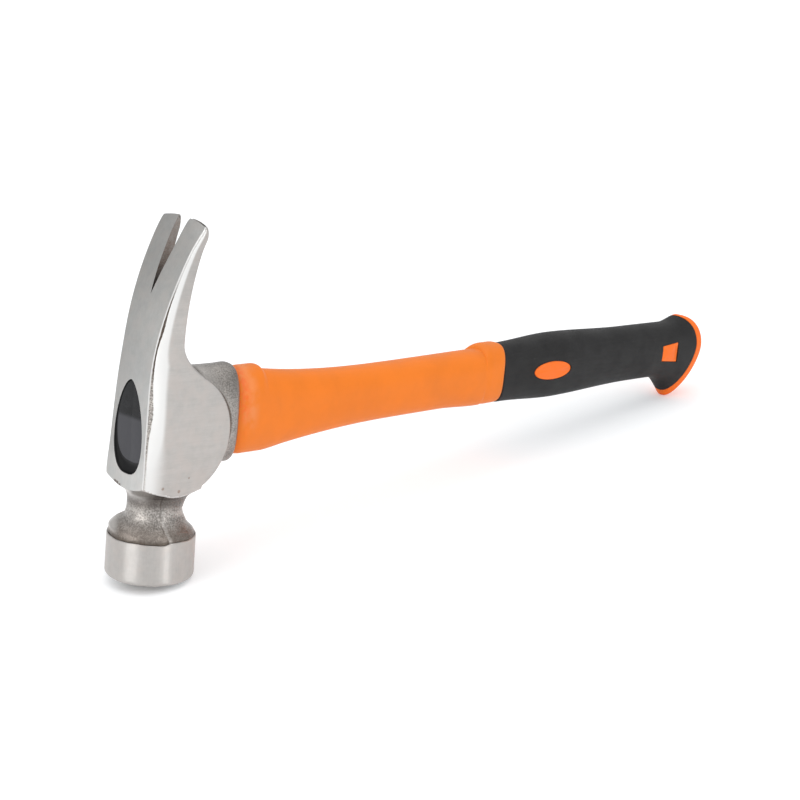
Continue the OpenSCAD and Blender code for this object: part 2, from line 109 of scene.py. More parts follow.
class HammerHeadSizes(bpy.types.PropertyGroup):
    """Sizes of the forged head, measured from the striking face and the head's axis."""

    bell_d: length("Bell diameter", "Across the bell at its lower edge", 34)
    bell_taper: length("Bell taper", "How much narrower the bell is at the top of its side", 0.2)
    face_edge: length("Face edge", "Rounding of the bell's lower edge", 2)
    bell_h: length("Bell height", "Height of the ground rim above the face", 16.8)
    neck_d: length("Neck diameter", "Across the neck at its narrowest", 21)
    neck_z: length("Neck height", "Height of the narrowest place above the face", 27.5)
    neck_back: length("Neck offset", "Distance of the neck's middle behind the head's axis", 0.8)
    flare_h: length("Flare height", "Height over which the neck flares out under the cheeks", 14)
    head_h: length("Head height", "From the face to the claw tips", 136.5)
    cheek_z: length("Cheek underside", "Height of the cheeks above the face", 33.5)
    cheek_w: length("Cheek width", "Across the cheeks", 25)
    band_front: length("Band offset", "Front band's distance from the head's axis under the eye", 14.5)
    band_lean: share("Band lean", "Lean of the front band in mm for each mm of height", 0.05)
    cheek_reach: length("Cheek reach", "Reach of the round cheek behind the head's axis", 25.8)
    cheek_r: length("Cheek radius", "Radius of the round cheek in height", 23.4)
    root_h: length("Claw root", "Height of the fillet between the cheek and the claw", 14.5)
    waist_w: length("Claw waist", "Width of the claw at its narrowest", 22)
    tip_w: length("Claw tip width", "Width of the claw at the tips", 26.4)
    tip_t: length("Claw tip thickness", "Thickness of the claw at the tips", 3.8)
    claw_taper: share("Claw taper", "Gain in thickness for each mm down from the tips", 0.2)
    claw_sweep: length("Claw sweep", "Backward sweep of the claw tips", 16.1)
    sweep_z: length("Sweep start", "Height at which the claw starts to sweep back", 70)
    slot_w: length("Slot width", "Width of the nail slot at its mouth", 6)
    slot_len: length("Slot length", "Length of the nail slot", 27.6)
    slot_flare: length("Slot flare", "Widening of the nail slot towards the back", 3.4)
    eye_h: length("Eye height", "Height of the eye at the front band", 35.2)
    eye_w: length("Eye width", "Width of the eye at the front band", 17)
    eye_back_h: length("Eye back height", "Height of the eye at the back of the boss", 31)
    eye_back_w: length("Eye back width", "Width of the eye at the back of the boss", 15.2)
    boss_h: length("Boss height", "Height of the boss", 39.6)
    boss_w: length("Boss width", "Width of the boss", 23.6)
    boss_x: length("Boss reach", "Distance of the boss's back from the head's axis", 34)
    boss_bow: length("Boss bow", "How much shorter the boss is at its sides", 3)


class HammerHandleSizes(bpy.types.PropertyGroup):
    """Sizes of the handle, its jacket and the resin."""

    axis_z: length("Axis height", "Height of the handle's axis above the face", 60)
    axis_rise: length("Axis rise", "Rise of the axis from the collar to the grip", 3)
    reach: length("Reach", "Distance of the middle of the butt from the head's axis", 343.7)
    resin_recess: length("Resin recess", "Depth of the resin at the top of the eye", 0.5)
    resin_pool: length("Resin pool", "Thickness of the resin in front of the tenon", 4)
    resin_bond: length("Resin bond", "Thickness of the resin round the tenon", 0.9)
    collar_h: length("Collar height", "Height of the collar behind the boss", 35.4)
    collar_w: length("Collar width", "Width of the collar behind the boss", 20)
    collar_rise: length("Collar rise", "Rise of the collar's middle above the axis", 0.8)
    collar_len: length("Collar length", "Length of the collar", 16)
    shaft_h: length("Shaft height", "Height of the shaft at its waist", 24.2)
    shaft_w: length("Shaft width", "Width of the shaft at its waist", 18)
    bulb_h: length("Bulb height", "Height of the bulb ring", 28)
    bulb_w: length("Bulb width", "Width of the bulb ring", 20)
    bulb_rise: length("Bulb rise", "Rise of the bulb ring's middle above the axis", 0.6)
    bulb_len: length("Bulb length", "Length of the bulb ring", 12.5)
    bulb_bow: length("Bulb bow", "How much farther forward the bulb ring lies at its sides", 3)
    core_h: length("Core height", "Height of the fibreglass core", 16)
    core_w: length("Core width", "Width of the fibreglass core", 9)
    core_end: length("Core end", "Distance from the end of the core to the middle of the butt", 26)
    bond_gap: length("Bond gap", "Gap between layers", 0.15)


class HammerGripSizes(bpy.types.PropertyGroup):
    """Sizes of the rubber grip and the butt."""

    grip_len: length("Grip length", "From the bulb ring to the middle of the butt", 153)
    grip_front_h: length("Front height", "Height of the grip at its front", 27.2)
    grip_front_w: length("Front width", "Width of the grip at its front", 19.2)
    palm_h: length("Palm height", "Height of the grip at the palm swell", 30.8)
    palm_w: length("Palm width", "Width of the grip at the palm swell", 21.6)
    grip_waist_h: length("Waist height", "Height of the grip at its waist", 27.6)
    grip_waist_w: length("Waist width", "Width of the grip at its waist", 20.8)
    grip_t: length("Rubber thickness", "Thickness of the rubber", 2.4)
    butt_top: length("Butt top", "Rise of the butt's top above the grip's axis", 17)
    heel_drop: length("Heel drop", "Drop of the heel below the grip's axis", 26.2)
    butt_w: length("Butt width", "Width of the butt", 22.4)
    heel_pinch: share("Heel pinch", "Narrowing of the heel at its tip as a share", 0.25)
    flange_t: length("Flange thickness", "Thickness of the butt flange", 5)
    flange_edge: length("Flange edge", "Rounding of the butt flange", 1.4)
    butt_peak: length("Butt peak", "Height of the butt's hindmost line above the axis", 4)
    butt_round: length("Butt round", "Setback of the butt's top from its hindmost line", 9)
    heel_slope: share("Heel slope", "Slope of the butt's lower end", 0.65)
    heel_round: length("Heel round", "Rounding of the butt's hindmost line", 8)
    oval_len: length("Oval length", "Length of the oval window", 26)
    oval_h: length("Oval height", "Height of the oval window", 8.6)
    oval_x: length("Oval place", "From the bulb ring to the middle of the oval window", 31)
    key_len: length("Key length", "Length of the tapered window", 12.6)
    key_h: length("Key height", "Height of the tapered window at its wide end", 10)
    key_x: length("Key place", "From the middle of the tapered window to the middle of the butt", 27.7)


class HammerFinishes(bpy.types.PropertyGroup):
    """Colours of the finishes."""

    ground: colour("Ground steel", "Ground faces of the head", (0.58, 0.555, 0.532))
    forged: colour("Forged steel", "As-forged skin of the head", (0.33, 0.308, 0.288))
    # Rust is also the tint of the painted shade beside the cheek on the boss.
    rust: colour("Rust", "Stains in pits and corners", (0.16, 0.10, 0.065))
    resin: colour("Resin", "Cast resin in the eye", (0.02, 0.02, 0.0225))
    jacket: colour("Jacket", "Moulded plastic of the handle", (0.835, 0.198, 0.0105))
    rubber: colour("Rubber", "Rubber of the grip", (0.0146, 0.0144, 0.0148))
    rod: colour("Rod", "Raw fibreglass rod", (0.75, 0.68, 0.50))


GROUPS = ("hammer_head", "hammer_handle", "hammer_grip")


def measures(scene):
    """All the sizes in one bag, lengths in millimetres, with the values that follow from them."""
    bag = {}
    for group in (getattr(scene, name) for name in GROUPS):
        for key, prop in group.bl_rna.properties.items():
            if prop.type == "FLOAT":
                value = getattr(group, key)
                bag[key] = value / MM if prop.unit == "LENGTH" else value
    s = SimpleNamespace(**bag)
    s.bell_r = s.bell_d / 2
    s.bell_top_r = (s.bell_d - s.bell_taper) / 2
    s.face_r = s.bell_r - s.face_edge
    s.neck_r = s.neck_d / 2
    s.blade_foot = s.neck_z + 1.5
    s.cheek_mid = s.cheek_z + s.cheek_r
    s.root_z = s.cheek_mid + 0.87 * s.cheek_r
    s.waist_z = s.axis_z + s.eye_h / 2 + 12.6
    s.boss_mid = s.axis_z + 0.6
    s.resin_x = float(band_x(s, s.axis_z + s.eye_h / 2)) + s.resin_recess
    s.tenon_x = s.resin_x + s.resin_pool + 2 * s.bond_gap
    s.collar_x = s.boss_x + s.bond_gap
    s.shaft_x = s.collar_x + s.collar_len
    s.bulb_x = s.reach - s.grip_len
    s.bulb_start = s.bulb_x - s.bulb_len
    s.shaft_mid = mix(s.shaft_x, s.bulb_start, 0.55)
    s.grip_axis = s.axis_z + s.axis_rise
    s.flange_x = s.reach - s.flange_t
    s.heel_x = s.bulb_x + 0.74 * s.grip_len
    s.flare_x = mix(s.heel_x, s.reach, 0.5)
    s.palm_x = mix(s.bulb_x, s.heel_x, 0.35)
    s.waist_x = mix(s.bulb_x, s.heel_x, 0.85)
    s.core_x = s.reach - s.core_end
    s.pad_foot = s.core_w / 2 + 1
    s.grip_front = s.bulb_x + s.bond_gap
    s.grip_back = s.flange_x - 2 * s.bond_gap
    return s


# Plain laws

def mix(a, b, t):
    """The straight line from a to b."""
    return a + (b - a) * t


def unit(t):
    """t held between nought and one."""
    return np.clip(t, 0, 1)


def ramp(x, x0, x1):
    """Smooth step from nought at x0 to one at x1: three t squared less two t cubed."""
    t = unit((x - x0) / (x1 - x0))
    return t * t * (3 - 2 * t)


def quarter(t):
    """Quarter of a circle: one less the root of one less t squared."""
    return 1 - np.sqrt(np.maximum(0, 1 - t * t))


def signed_pow(v, p):
    """A power that keeps its sign."""
    return np.sign(v) * np.abs(v) ** p


def waves(u, v, terms):
    """A sum of sines over two parameters; each term is amplitude, turns of u, turns of v and phase."""
    return sum(a * np.sin(m * u + n * v + p) for a, m, n, p in terms)


def past(a, b, count):
    """Even steps from a to b without a itself."""
    return np.linspace(a, b, count)[1:]


def columns(*values):
    """Each value as a column, with one number for each ring."""
    return [np.asarray(value, float).reshape(-1, 1) for value in values]


def heading(vector):
    """A vector of length one."""
    return vector / np.linalg.norm(vector)


# Frames and meshes

def own_axes():
    """The hammer's own axes in the part's frame: Z up the head, Y across, X down the handle."""
    up = heading(-np.array(FACE["axis"], float))
    across = np.array([0.0, 1.0, 0.0])
    return np.stack([np.cross(across, up), across, up])


OWN_AXES = own_axes()
OWN_ORIGIN = np.array(FACE["pos_m"], float)
PITCH = math.atan2(-OWN_AXES[0][2], OWN_AXES[0][0])


def placed(points):
    """Points in the hammer's own axes and millimetres, carried into the part's frame in metres."""
    return OWN_ORIGIN + (np.asarray(points, float) * MM) @ OWN_AXES


def wall(rows, n, loop):
    """Quads between neighbouring rings of n points."""
    i, j = np.meshgrid(np.arange(rows if loop else rows - 1), np.arange(n), indexing="ij")
    k, after = (j + 1) % n, (i + 1) % rows
    return np.stack([i * n + j, i * n + k, after * n + k, after * n + j], -1).reshape(-1, 4)


def fans(rows, n):
    """Triangles from a hub at each end to the first and the last ring."""
    j = np.arange(n)
    k, last, hub = (j + 1) % n, (rows - 1) * n, rows * n
    first = np.stack([np.full(n, hub), k, j], -1)
    final = np.stack([np.full(n, hub + 1), last + j, last + k], -1)
    return np.concatenate([first, final])


def skin(name, rings, materials, values=None, zone=0, loop=False):
    """A closed surface over a stack of rings, an array of rows by points by three. values are point
    attributes of rows by points, and zone gives each wall quad's material by its row. The hubs at the ends
    are the means of their rings, rounded so that they come out the same in each run."""
    rows, n = rings.shape[:2]
    zone = np.broadcast_to(zone, rows if loop else rows - 1).astype(np.int32)
    points, faces, index = rings.reshape(-1, 3), wall(rows, n, loop).tolist(), np.repeat(zone, n)
    if not loop:
        points = np.concatenate([points, rings[[0, -1]].mean(1).round(HUB_DIGITS)])
        faces += fans(rows, n).tolist()
        index = np.concatenate([index, np.repeat(zone[[0, -1]], n)])
    mesh = bpy.data.meshes.new(name)
    mesh.from_pydata(placed(points).tolist(), [], faces)
    for key, value in (values or {}).items():
        flat = np.broadcast_to(value, (rows, n)).reshape(-1)
        if not loop:
            flat = np.concatenate([flat, flat[:1], flat[-1:]])
        mesh.attributes.new(key, "FLOAT", "POINT").data.foreach_set("value", flat.astype(np.float32))
    for material in materials:
        mesh.materials.append(material)
    mesh.polygons.foreach_set("material_index", index)
    mesh.update()
    piece = bpy.data.objects.new(name, mesh)
    bpy.context.scene.collection.objects.link(piece)
    return piece


def carve(piece, operation, tool):
    """Joins or cuts a piece with a tool, keeps each face's material, and removes the tool."""
    step = piece.modifiers.new("carve", "BOOLEAN")
    step.operation, step.object, step.solver = operation, tool, "MANIFOLD"
    step.material_mode = "TRANSFER"
    ready = piece.evaluated_get(bpy.context.evaluated_depsgraph_get())
    mesh = bpy.data.meshes.new_from_object(ready)
    if len(mesh.polygons) == 0:
        raise RuntimeError(f"{piece.name}: nothing is left after {operation.lower()} with {tool.name}")
    piece.modifiers.remove(step)
    old, piece.data = piece.data, mesh
    mesh.name = piece.name
    bpy.data.meshes.remove(old)
    spare = tool.data
    bpy.data.objects.remove(tool)
    bpy.data.meshes.remove(spare)


def finish_piece(piece, node, sharp):
    """Smooth faces with crisp edges past an angle; the piece stands for its node and rides with the part."""
    mesh = piece.data
    mesh.polygons.foreach_set("use_smooth", np.ones(len(mesh.polygons), bool))
    mesh.set_sharp_from_angle(angle=math.radians(sharp))
    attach(piece, "root")
    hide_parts(node)


# Head laws

def band_x(s, z):
    """Front band: a straight lean, and past the sweep's start a power curve back to the claw tips."""
    rise = np.maximum(0, z - s.sweep_z) / (s.head_h - s.sweep_z)
    return -s.band_front + s.band_lean * (z - s.cheek_z) + s.claw_sweep * rise ** 2.2


def claw_back(s, z):
    """Back of the claw: the band set back by a thickness that grows downwards."""
    return band_x(s, z) + s.tip_t + s.claw_taper * (s.head_h - z)


def cheek_back(s, z):
    """Back of the cheek: an ellipse about the cheek's middle, no nearer than the neck."""
    grown = np.sqrt(np.maximum(0, 1 - ((z - s.cheek_mid) / s.cheek_r) ** 2))
    ellipse = CHEEK_FRONT + (s.cheek_reach - CHEEK_FRONT) * grown
    return np.maximum(FLARE_BACK + s.neck_r + 1.8, ellipse)


def blade_back(s, z):
    """Cheek below the claw's root, and above it the claw's back with a fillet that falls off as a square."""
    step = cheek_back(s, s.root_z) - claw_back(s, s.root_z)
    fillet = claw_back(s, z) + step * (1 - unit((z - s.root_z) / s.root_h)) ** 2
    return np.where(z < s.root_z, cheek_back(s, z), fillet)


def side_y(s, z):
    """Half width: cheeks, then a waist, then a power curve out to the tips."""
    flare = unit((z - s.waist_z) / (s.head_h - s.waist_z)) ** 1.2
    body = mix(s.cheek_w, s.waist_w, ramp(z, s.axis_z - 4, s.waist_z)) / 2
    return body + (s.tip_w - s.waist_w) / 2 * flare


def band_inset(s, z):
    """How much narrower the front band is than the cheeks, most of all beside the eye."""
    return mix(1.2, 2.1, ramp(z, s.cheek_z + 6, s.axis_z)) - 1.5 * ramp(z, s.axis_z, s.head_h - 12)


def blade_levels(s):
    """Heights of the blade's sections, closer together where the outline turns."""
    root_top, nose = s.root_z + s.root_h, s.head_h - NOSE
    return np.concatenate([
        [s.blade_foot],
        np.linspace(s.neck_z + 4, s.root_z - 4, 70),
        past(s.root_z - 4, root_top, 36),
        past(root_top, nose, 56),
        past(nose, s.head_h - TIP_ROUND, 14),
        s.head_h - TIP_ROUND * (1 - np.sin(past(0, np.pi / 2, 9))),
    ])


def blade_rings(s):
    """Sections of the blade: a flat front band, a bevel, a convex side that runs out flat, a rounded back
    edge and a flat back, mirrored about the middle. Below the foot a wide drum leaves the neck and the bell
    whole. Returns the rings, each point's distance from the band's edge along the section, its height, and
    how far it has got round the section: to 0.5 on the band, 1.5 on the bevel, 2.5 on the convex side and on
    behind it."""
    z = blade_levels(s)[:, None]
    tip = quarter(unit((z - s.head_h + TIP_ROUND) / TIP_ROUND))
    nose = unit((z - s.head_h + NOSE) / NOSE) ** 2
    front = band_x(s, z) + 0.26 * nose
    back = blade_back(s, z) - 2.5 * nose
    side = side_y(s, z) - 0.5 * tip - 0.1 * nose
    inset = band_inset(s, z)
    flat = side - inset
    bevel = 0.6 * inset
    shoulder = flat + 0.6 * bevel
    depth = np.minimum(9, 0.55 * (back - front - bevel))
    turn = np.minimum(1.2, 0.2 * (back - front))
    runs = []

    def run(x, y, first, last):
        runs.append(np.broadcast_arrays(x, y, np.linspace(first, last, x.shape[1])))

    u = np.linspace(0, 1, FRONT_POINTS)
    run(front + 0 * u, flat * (1 - (1 - u) ** 1.6), -0.5, 0.5)
    u = past(0, 1, 5)
    run(front + bevel * u, flat + 0.6 * bevel * u, 0.75, 1.5)
    u = past(0, 1, 21)
    run(front + bevel + depth * u, shoulder + (side - shoulder) * (1 - (1 - u) ** 2), 1.55, 2.5)
    u = past(0, 1, 13)
    run(mix(front + bevel + depth, back - turn, u), side + 0 * u, 2.6, 3.7)
    a = past(0, np.pi / 2, 8)
    run(back - turn + turn * np.sin(a), side - turn + turn * np.cos(a), 4.5, 4.5)
    u = past(0, 1, 9)
    run(back + 0 * u, (side - turn) * (1 - u), 4.5, 4.5)
    x, y, gone = (np.concatenate(values, 1) for values in zip(*runs))
    steps = np.hypot(np.diff(x, axis=1), np.diff(y, axis=1))
    across = np.concatenate([np.zeros_like(z), np.cumsum(steps, 1)], 1)
    across = across - across[:, FRONT_POINTS - 1:FRONT_POINTS]
    half = np.stack([x, -y, z + 0 * x], -1)
    rings = np.concatenate([half, half[:, -2:0:-1] * np.array([1, -1, 1])], 1)
    worn = 1.2 * unit((s.cheek_z + 8.5 - z) / 5) ** 2
    rings[..., 1] -= worn * unit(rings[..., 1] / 6 - 0.6) * unit((2 - rings[..., 0]) / 6)
    cube = rings[..., 1] ** 3
    askew = np.where(rings[..., 1] > 0, 1 - 0.0005 * cube, 0.6 + 0.0011 * cube)
    rings[..., 2] += ramp(z, s.head_h - 12, s.head_h) * askew
    n = rings.shape[1]
    a = np.pi + np.linspace(0, 2 * np.pi, n, endpoint=False)
    drum = np.stack([FAR * np.cos(a), FAR * np.sin(a), 0 * a], -1)
    low = np.stack([drum + [0, 0, -5], drum + [0, 0, s.blade_foot - 0.5]])
    far = np.full((2, n), FAR)
    across, gone = (np.concatenate([far, np.concatenate([v, v[:, -2:0:-1]], 1)]) for v in (across, gone))
    return np.concatenate([low, rings]), across, np.concatenate([[0, 0], z[:, 0]])[:, None], gone


def strip_width(s, z):
    """Width of the unground strip beside the band: widest beside the eye, a hairline along the claw."""
    beside = np.exp(-((z - s.axis_z - 7) / 11) ** 2)
    spot = np.exp(-((z - s.axis_z - 38) / 5) ** 2)
    under = 0.5 * (1 - ramp(z, s.axis_z - 14, s.axis_z - 6))
    return 0.2 + 0.3 * ramp(z, s.axis_z + 12, s.axis_z + 24) + 1.5 * beside + 0.5 * spot + under


def turned_rings(s):
    """Bell, neck and flare about the head's axis: a flat face, a round edge, a straight side up to an uneven
    ground rim, a small step in, a domed shoulder whose radius falls as one less t squared, to a power, to the
    neck, and a flare that grows as one less the sixth power of one less u to the fourth, wider towards the
    handle. Above the flare a wide drum leaves the blade whole. Returns the rings, each row's finish, and
    each point's distance from the seam."""
    turn = np.linspace(0, 2 * np.pi, 193)[None, :-1]
    far, near = (np.exp(-3 * (1 - np.cos(turn - math.radians(way)))) for way in (144, -36))
    round_step = np.exp(-2.2 * (1 - np.cos(turn + math.radians(95))))
    uneven = [(0.14, 1, 0, 0.6), (0.12, 3, 0, 2.1), (0.07, 7, 0, 0.4), (0.05, 17, 0, 1.0)]
    rim = s.bell_h + waves(turn, 0, uneven)
    rim = rim + 0.42 * np.tanh(14 * np.sin(turn + math.radians(104))) * round_step
    rows = []

    def row(r, z, back=0.0):
        rows.append(np.stack([back + r * np.cos(turn), r * np.sin(turn), z + 0 * turn], -1)[0])

    for r in np.linspace(0.08, 1, 7)[:-1] * s.face_r:
        row(r, 0.0)
    for a in np.linspace(0, np.pi / 2, 10):
        row(s.face_r + s.face_edge * np.sin(a), s.face_edge * (1 - np.cos(a)))
    for t in past(0, 1, 13):
        row(mix(s.bell_r, s.bell_top_r, t), mix(s.face_edge, rim - 0.25, t))
    row(s.bell_top_r - 0.1, rim - 0.12)
    row(s.bell_top_r - 0.32, rim)
    ground = len(rows) - 1
    step = 0.55 + waves(turn, 0, [(0.12, 2, 0, 0.3), (0.08, 9, 0, 1.7), (0.06, 23, 0, 0.2)])
    row(s.bell_top_r - step, rim - 0.05)
    for t in past(0, 1, 46):
        r = s.neck_r + (s.bell_top_r - 0.3 - s.neck_r) * (1 - t * t) ** 3.4
        lip = 1.3 * ramp(t, 0.1, 0.32) * (1 - ramp(t, 0.43, 0.56)) - 0.95 * np.exp(-((t - 0.61) / 0.1) ** 2)
        r = r + far * lip - near * np.sin(np.pi * min(1, t / 0.66)) ** 2
        fade = 1 - ramp(t, 0, 0.3)
        z = mix(mix(rim, s.bell_h, ramp(t, 0, 0.4)), s.neck_z, t)
        row(r - fade * (step - 0.3) + ramp(t, 0, 0.12) * (forged_wave(turn, 11 * t) + parting(s, turn, r, z)),
            z, s.neck_back * ramp(t, 0, 1))
    for u in past(0, FLARE_SHARE, 48):
        grown = 1 - (1 - (u * (1 - 0.13 * far)) ** 4) ** 6
        r = s.neck_r + grown * (9.5 + 6 * np.maximum(0, np.cos(turn)))
        z = s.neck_z + s.flare_h * u
        filled = near * (0.3 + 0.8 * ramp(u, 0, 0.3))
        row(r + (1 - grown) * (filled + forged_wave(turn, 11 + 9 * u) + parting(s, turn, s.neck_r, z)),
            z, mix(s.neck_back, FLARE_BACK, u))
    row(FAR, s.neck_z + FLARE_SHARE * s.flare_h + 0.1)
    row(FAR, s.head_h + 5)
    rings = np.stack(rows)
    finish = np.full(len(rows) - 1, FORGED)
    finish[:ground] = BELL_STEEL
    x, y, z = np.moveaxis(rings, -1, 0)
    return rings, finish, seam_off(s, np.arctan2(y, x), np.hypot(x, y), z)


def forged_wave(turn, z):
    """Slow unevenness of a forged skin, in millimetres."""
    terms = [(0.07, 2, 0.35, 0.3), (0.05, 5, -0.5, 1.9), (0.035, 9, 0.8, 4.0), (0.025, 14, -1.3, 2.2)]
    return waves(turn, z, terms)


def seam_off(s, turn, r, z):
    """Distance round the neck from the line where the forging dies met, on each side, growing towards the
    handle."""
    line = np.radians(104.5 + 6 * ramp(z, s.bell_h, s.neck_z - 4))
    return (line - np.abs(np.angle(np.exp(1j * turn)))) * r


def parting(s, turn, r, z):
    """A small step at the seam, where one die lay a little outside the other. It runs out round the neck."""
    off = seam_off(s, turn, r, z)
    return 0.13 * (1 + np.tanh(off / 0.35)) * np.exp(-(np.maximum(0, off) / 4) ** 2)


def oval_ring(x, mid, w, h, power, angle):
    """A superellipse across X: the sine and cosine each raised to two over the power."""
    x, mid, w, h = columns(x, mid, w, h)
    y = w / 2 * signed_pow(np.cos(angle), 2 / power)
    z = mid + h / 2 * signed_pow(np.sin(angle), 2 / power)
    return np.stack(np.broadcast_arrays(x, y, z), -1)


def around(sides):
    """Angles round a ring, from the +Y side over the top."""
    return np.linspace(0, 2 * np.pi, sides, endpoint=False)[None]


def bowed(rings, bow, mid, span):
    """Rings drawn towards the head between the top and bottom of a span, by one less a square."""
    drawn = rings.copy()
    drawn[..., 0] -= columns(bow)[0] * (1 - unit((2 * (rings[..., 2] - mid) / span) ** 2))
    return drawn


def boss_bowed(s, rings):
    """Rings bowed like the back of the boss."""
    return bowed(rings, s.boss_bow, s.boss_mid, s.boss_h)


def eye_ring(s, x, inward, angle):
    """The eye is an egg with a blunt lower end: u to the 0.35 times one less u to the 0.6, where u runs from
    its bottom to its top. It narrows evenly from the front band to the back of the boss."""
    x, inward = columns(x, inward)
    t = (x + s.band_front) / (s.boss_x + s.band_front)
    w = mix(s.eye_w, s.eye_back_w, t) - 2 * inward
    h = mix(s.eye_h, s.eye_back_h, t) - 2 * inward
    u = unit((1 + np.sin(angle)) / 2)
    peak = 0.35 / 0.95
    egg = u ** 0.35 * (1 - u) ** 0.6 / (peak ** 0.35 * (1 - peak) ** 0.6)
    y = np.sign(np.cos(angle)) * w / 2 * egg
    z = s.axis_z + h / 2 * np.sin(angle)
    return np.stack(np.broadcast_arrays(x, y, z), -1)


def boss_rings(s):
    """Boss: an oval tube that rounds over at its back end, bowed like the collar that meets it."""
    angle = around(EYE_SIDES)
    edge = s.boss_x - BOSS_ROUND
    over = s.boss_x - BOSS_ROUND * (1 - np.sin(past(0, np.pi / 2, 14)))
    x = np.concatenate([np.linspace(2, edge, 34), over])
    a = np.arcsin(unit((x - s.boss_x + BOSS_ROUND) / BOSS_ROUND))
    tuck = np.interp(x, [2, 8, 18], [1.5, 0.3, 0]) + 0.62 * BOSS_ROUND * (1 - np.cos(a))
    wave = forged_wave(angle, x[:, None] * 0.9) * (1 - ramp(x, s.boss_x - 3, s.boss_x))[:, None]
    rings = oval_ring(x, s.boss_mid, s.boss_w - 2 * tuck, s.boss_h - 2 * tuck, 2.2, angle)
    rings[..., 1] += wave * np.cos(angle)
    rings[..., 2] += wave * np.sin(angle)
    rings = bowed(rings, s.boss_bow * ramp(x, 10, s.boss_x), s.boss_mid, s.boss_h)
    return np.concatenate([rings, boss_bowed(s, eye_ring(s, s.boss_x, s.resin_bond, angle))])


def lean_mouth(s, rings, amount):
    """The eye's mouth leans a little across the band and lies a little low, each times an amount."""
    moved = rings.copy()
    moved[..., 1] += amount * (0.33 + 0.06 * (rings[..., 2] - s.axis_z))
    moved[..., 2] -= amount * 0.4
    return moved


def eye_cutter_rings(s):
    """The eye's tool: it follows the band with a rounded mouth, then tapers to the back of the boss."""
    angle = around(EYE_SIDES)
    depth = np.array([-6, -0.02, 0.06, 0.16, 0.32, 0.6, 1.2, 2.2, 3.4, 5])
    grow = np.array([0.4, 0.28, 0.18, 0.1, 0.04, 0, 0, 0, 0, 0])
    mouth = eye_ring(s, depth - s.band_front + 1, -grow, angle)
    mouth = lean_mouth(s, mouth, (1 - ramp(depth, 2, 8))[:, None])
    mouth[..., 0] = band_x(s, mouth[..., 2]) + depth[:, None]
    x = np.linspace(-s.band_front + 12, s.boss_x + 6, 10)
    return np.concatenate([mouth, eye_ring(s, x, 0, angle)])


def slot_rings(s):
    """The nail slot's tool: sides that curve apart from the root as one less a power, widening towards the
    back of the claw, with the front and back edges eased."""
    tips = SLOT_STRAIGHT + 0.12 * np.sin(past(0, np.pi / 2, 16))
    u = np.concatenate([SLOT_STRAIGHT * np.linspace(0, 1, 45) ** 1.3, tips, [1.12]])
    z = s.head_h - s.slot_len * (1 - u)
    left = 1 - np.minimum(u, 1)
    half = s.slot_w / 2 * (1 - left ** 1.6)
    corner = quarter(unit((z - s.head_h + 0.9) / 2.2))
    widen = np.minimum(1, 4 * u)
    front, back = band_x(s, z), claw_back(s, z)
    flare, thick, ease = s.slot_flare / 2, back - front, 0.35
    sections = (
        (front - 3, 0), (front, 0), (front + ease, flare * ease / thick),
        (back - ease, flare * (1 - ease / thick)), (back + 0.02, flare + 0.25), (back + 5, flare + 1.2))
    rings = []
    for x, w in sections:
        near, far = (np.stack([x, 0.9 * left + way * (half + w * widen + eased * corner), z], -1)
                     for way, eased in ((1, 1.2), (-1, 2)))
        rings.append(np.concatenate([far[:0:-1], near]))
    return np.stack(rings)


def resin_rings(s):
    """The resin: a pool that dishes as one less a square, leans across the eye and climbs its wall as a
    quarter circle, widest below, then a thin cup round the tenon. Returns the rings and how far each point
    has climbed."""
    angle = around(EYE_SIDES)
    spread = np.concatenate([np.linspace(0.03, 0.7, 12), past(0.7, 0.985, 24), [1.0]])[:, None]
    edge = lean_mouth(s, eye_ring(s, s.resin_x, s.bond_gap, angle), 1.0)[0]
    middle = np.array([s.resin_x, 0, s.axis_z])
    pool = middle + (edge - middle)[None] * spread[..., None]
    width = mix(0.03, 0.24, unit(-np.sin(angle - 0.1)) ** 2)
    climbed = unit((spread - 1 + width) / width)
    wall_top = band_x(s, edge[:, 2])[None] + 0.5
    level = s.resin_x - 0.3 * (1 - spread ** 2) - 0.09 * np.maximum(0, pool[..., 1])
    pool[..., 0] = mix(level, wall_top, quarter(climbed))
    x = np.array([s.tenon_x - s.bond_gap, TENON_FRONT])
    back, insets = s.boss_x - s.bond_gap, (s.bond_gap, s.resin_bond)
    ends = [boss_bowed(s, eye_ring(s, back, inset, angle)) for inset in insets]
    outer, inner = eye_ring(s, x, s.bond_gap, angle), eye_ring(s, x[::-1], s.resin_bond, angle)
    rings = np.concatenate([pool, outer, *ends, inner])
    return rings, np.concatenate([climbed, np.zeros((len(rings) - len(pool), EYE_SIDES))])


# Handle laws

def axis_at(s, x):
    """The handle's axis rises smoothly from the boss to the heel."""
    return s.axis_z + s.axis_rise * ramp(x, s.boss_x, s.heel_x)


def shaft_law(s, x, collar, waist):
    """From the collar down to a waist by a power, then a small swell to the bulb ring."""
    fall = (1 - unit((x - s.shaft_x) / (s.shaft_mid - s.shaft_x))) ** 2.2
    return mix(waist, collar - 2, fall) + 0.4 * ramp(x, s.shaft_mid, s.bulb_start)


def shaft_axis(s, x):
    """The shaft sags a little behind the collar."""
    return axis_at(s, x) - 0.5 * (1 - ramp(x, s.shaft_x, s.shaft_mid))


def grip_law(s, x, front, palm, waist):
    """Smooth steps from the grip's front to the palm swell and on to the waist."""
    swell = mix(front, palm, ramp(x, s.bulb_x, s.palm_x))
    return np.where(x < s.palm_x, swell, mix(palm, waist, ramp(x, s.palm_x, s.waist_x)))


def grip_w_at(s, x):
    """Width of the grip, out to the butt's width at the flange."""
    width = grip_law(s, x, s.grip_front_w, s.palm_w, s.grip_waist_w)
    return width + (s.butt_w - s.grip_waist_w) * ramp(x, s.heel_x, s.flange_x)


def grip_h_at(s, x):
    """Height of the grip."""
    return grip_law(s, x, s.grip_front_h, s.palm_h, s.grip_waist_h)


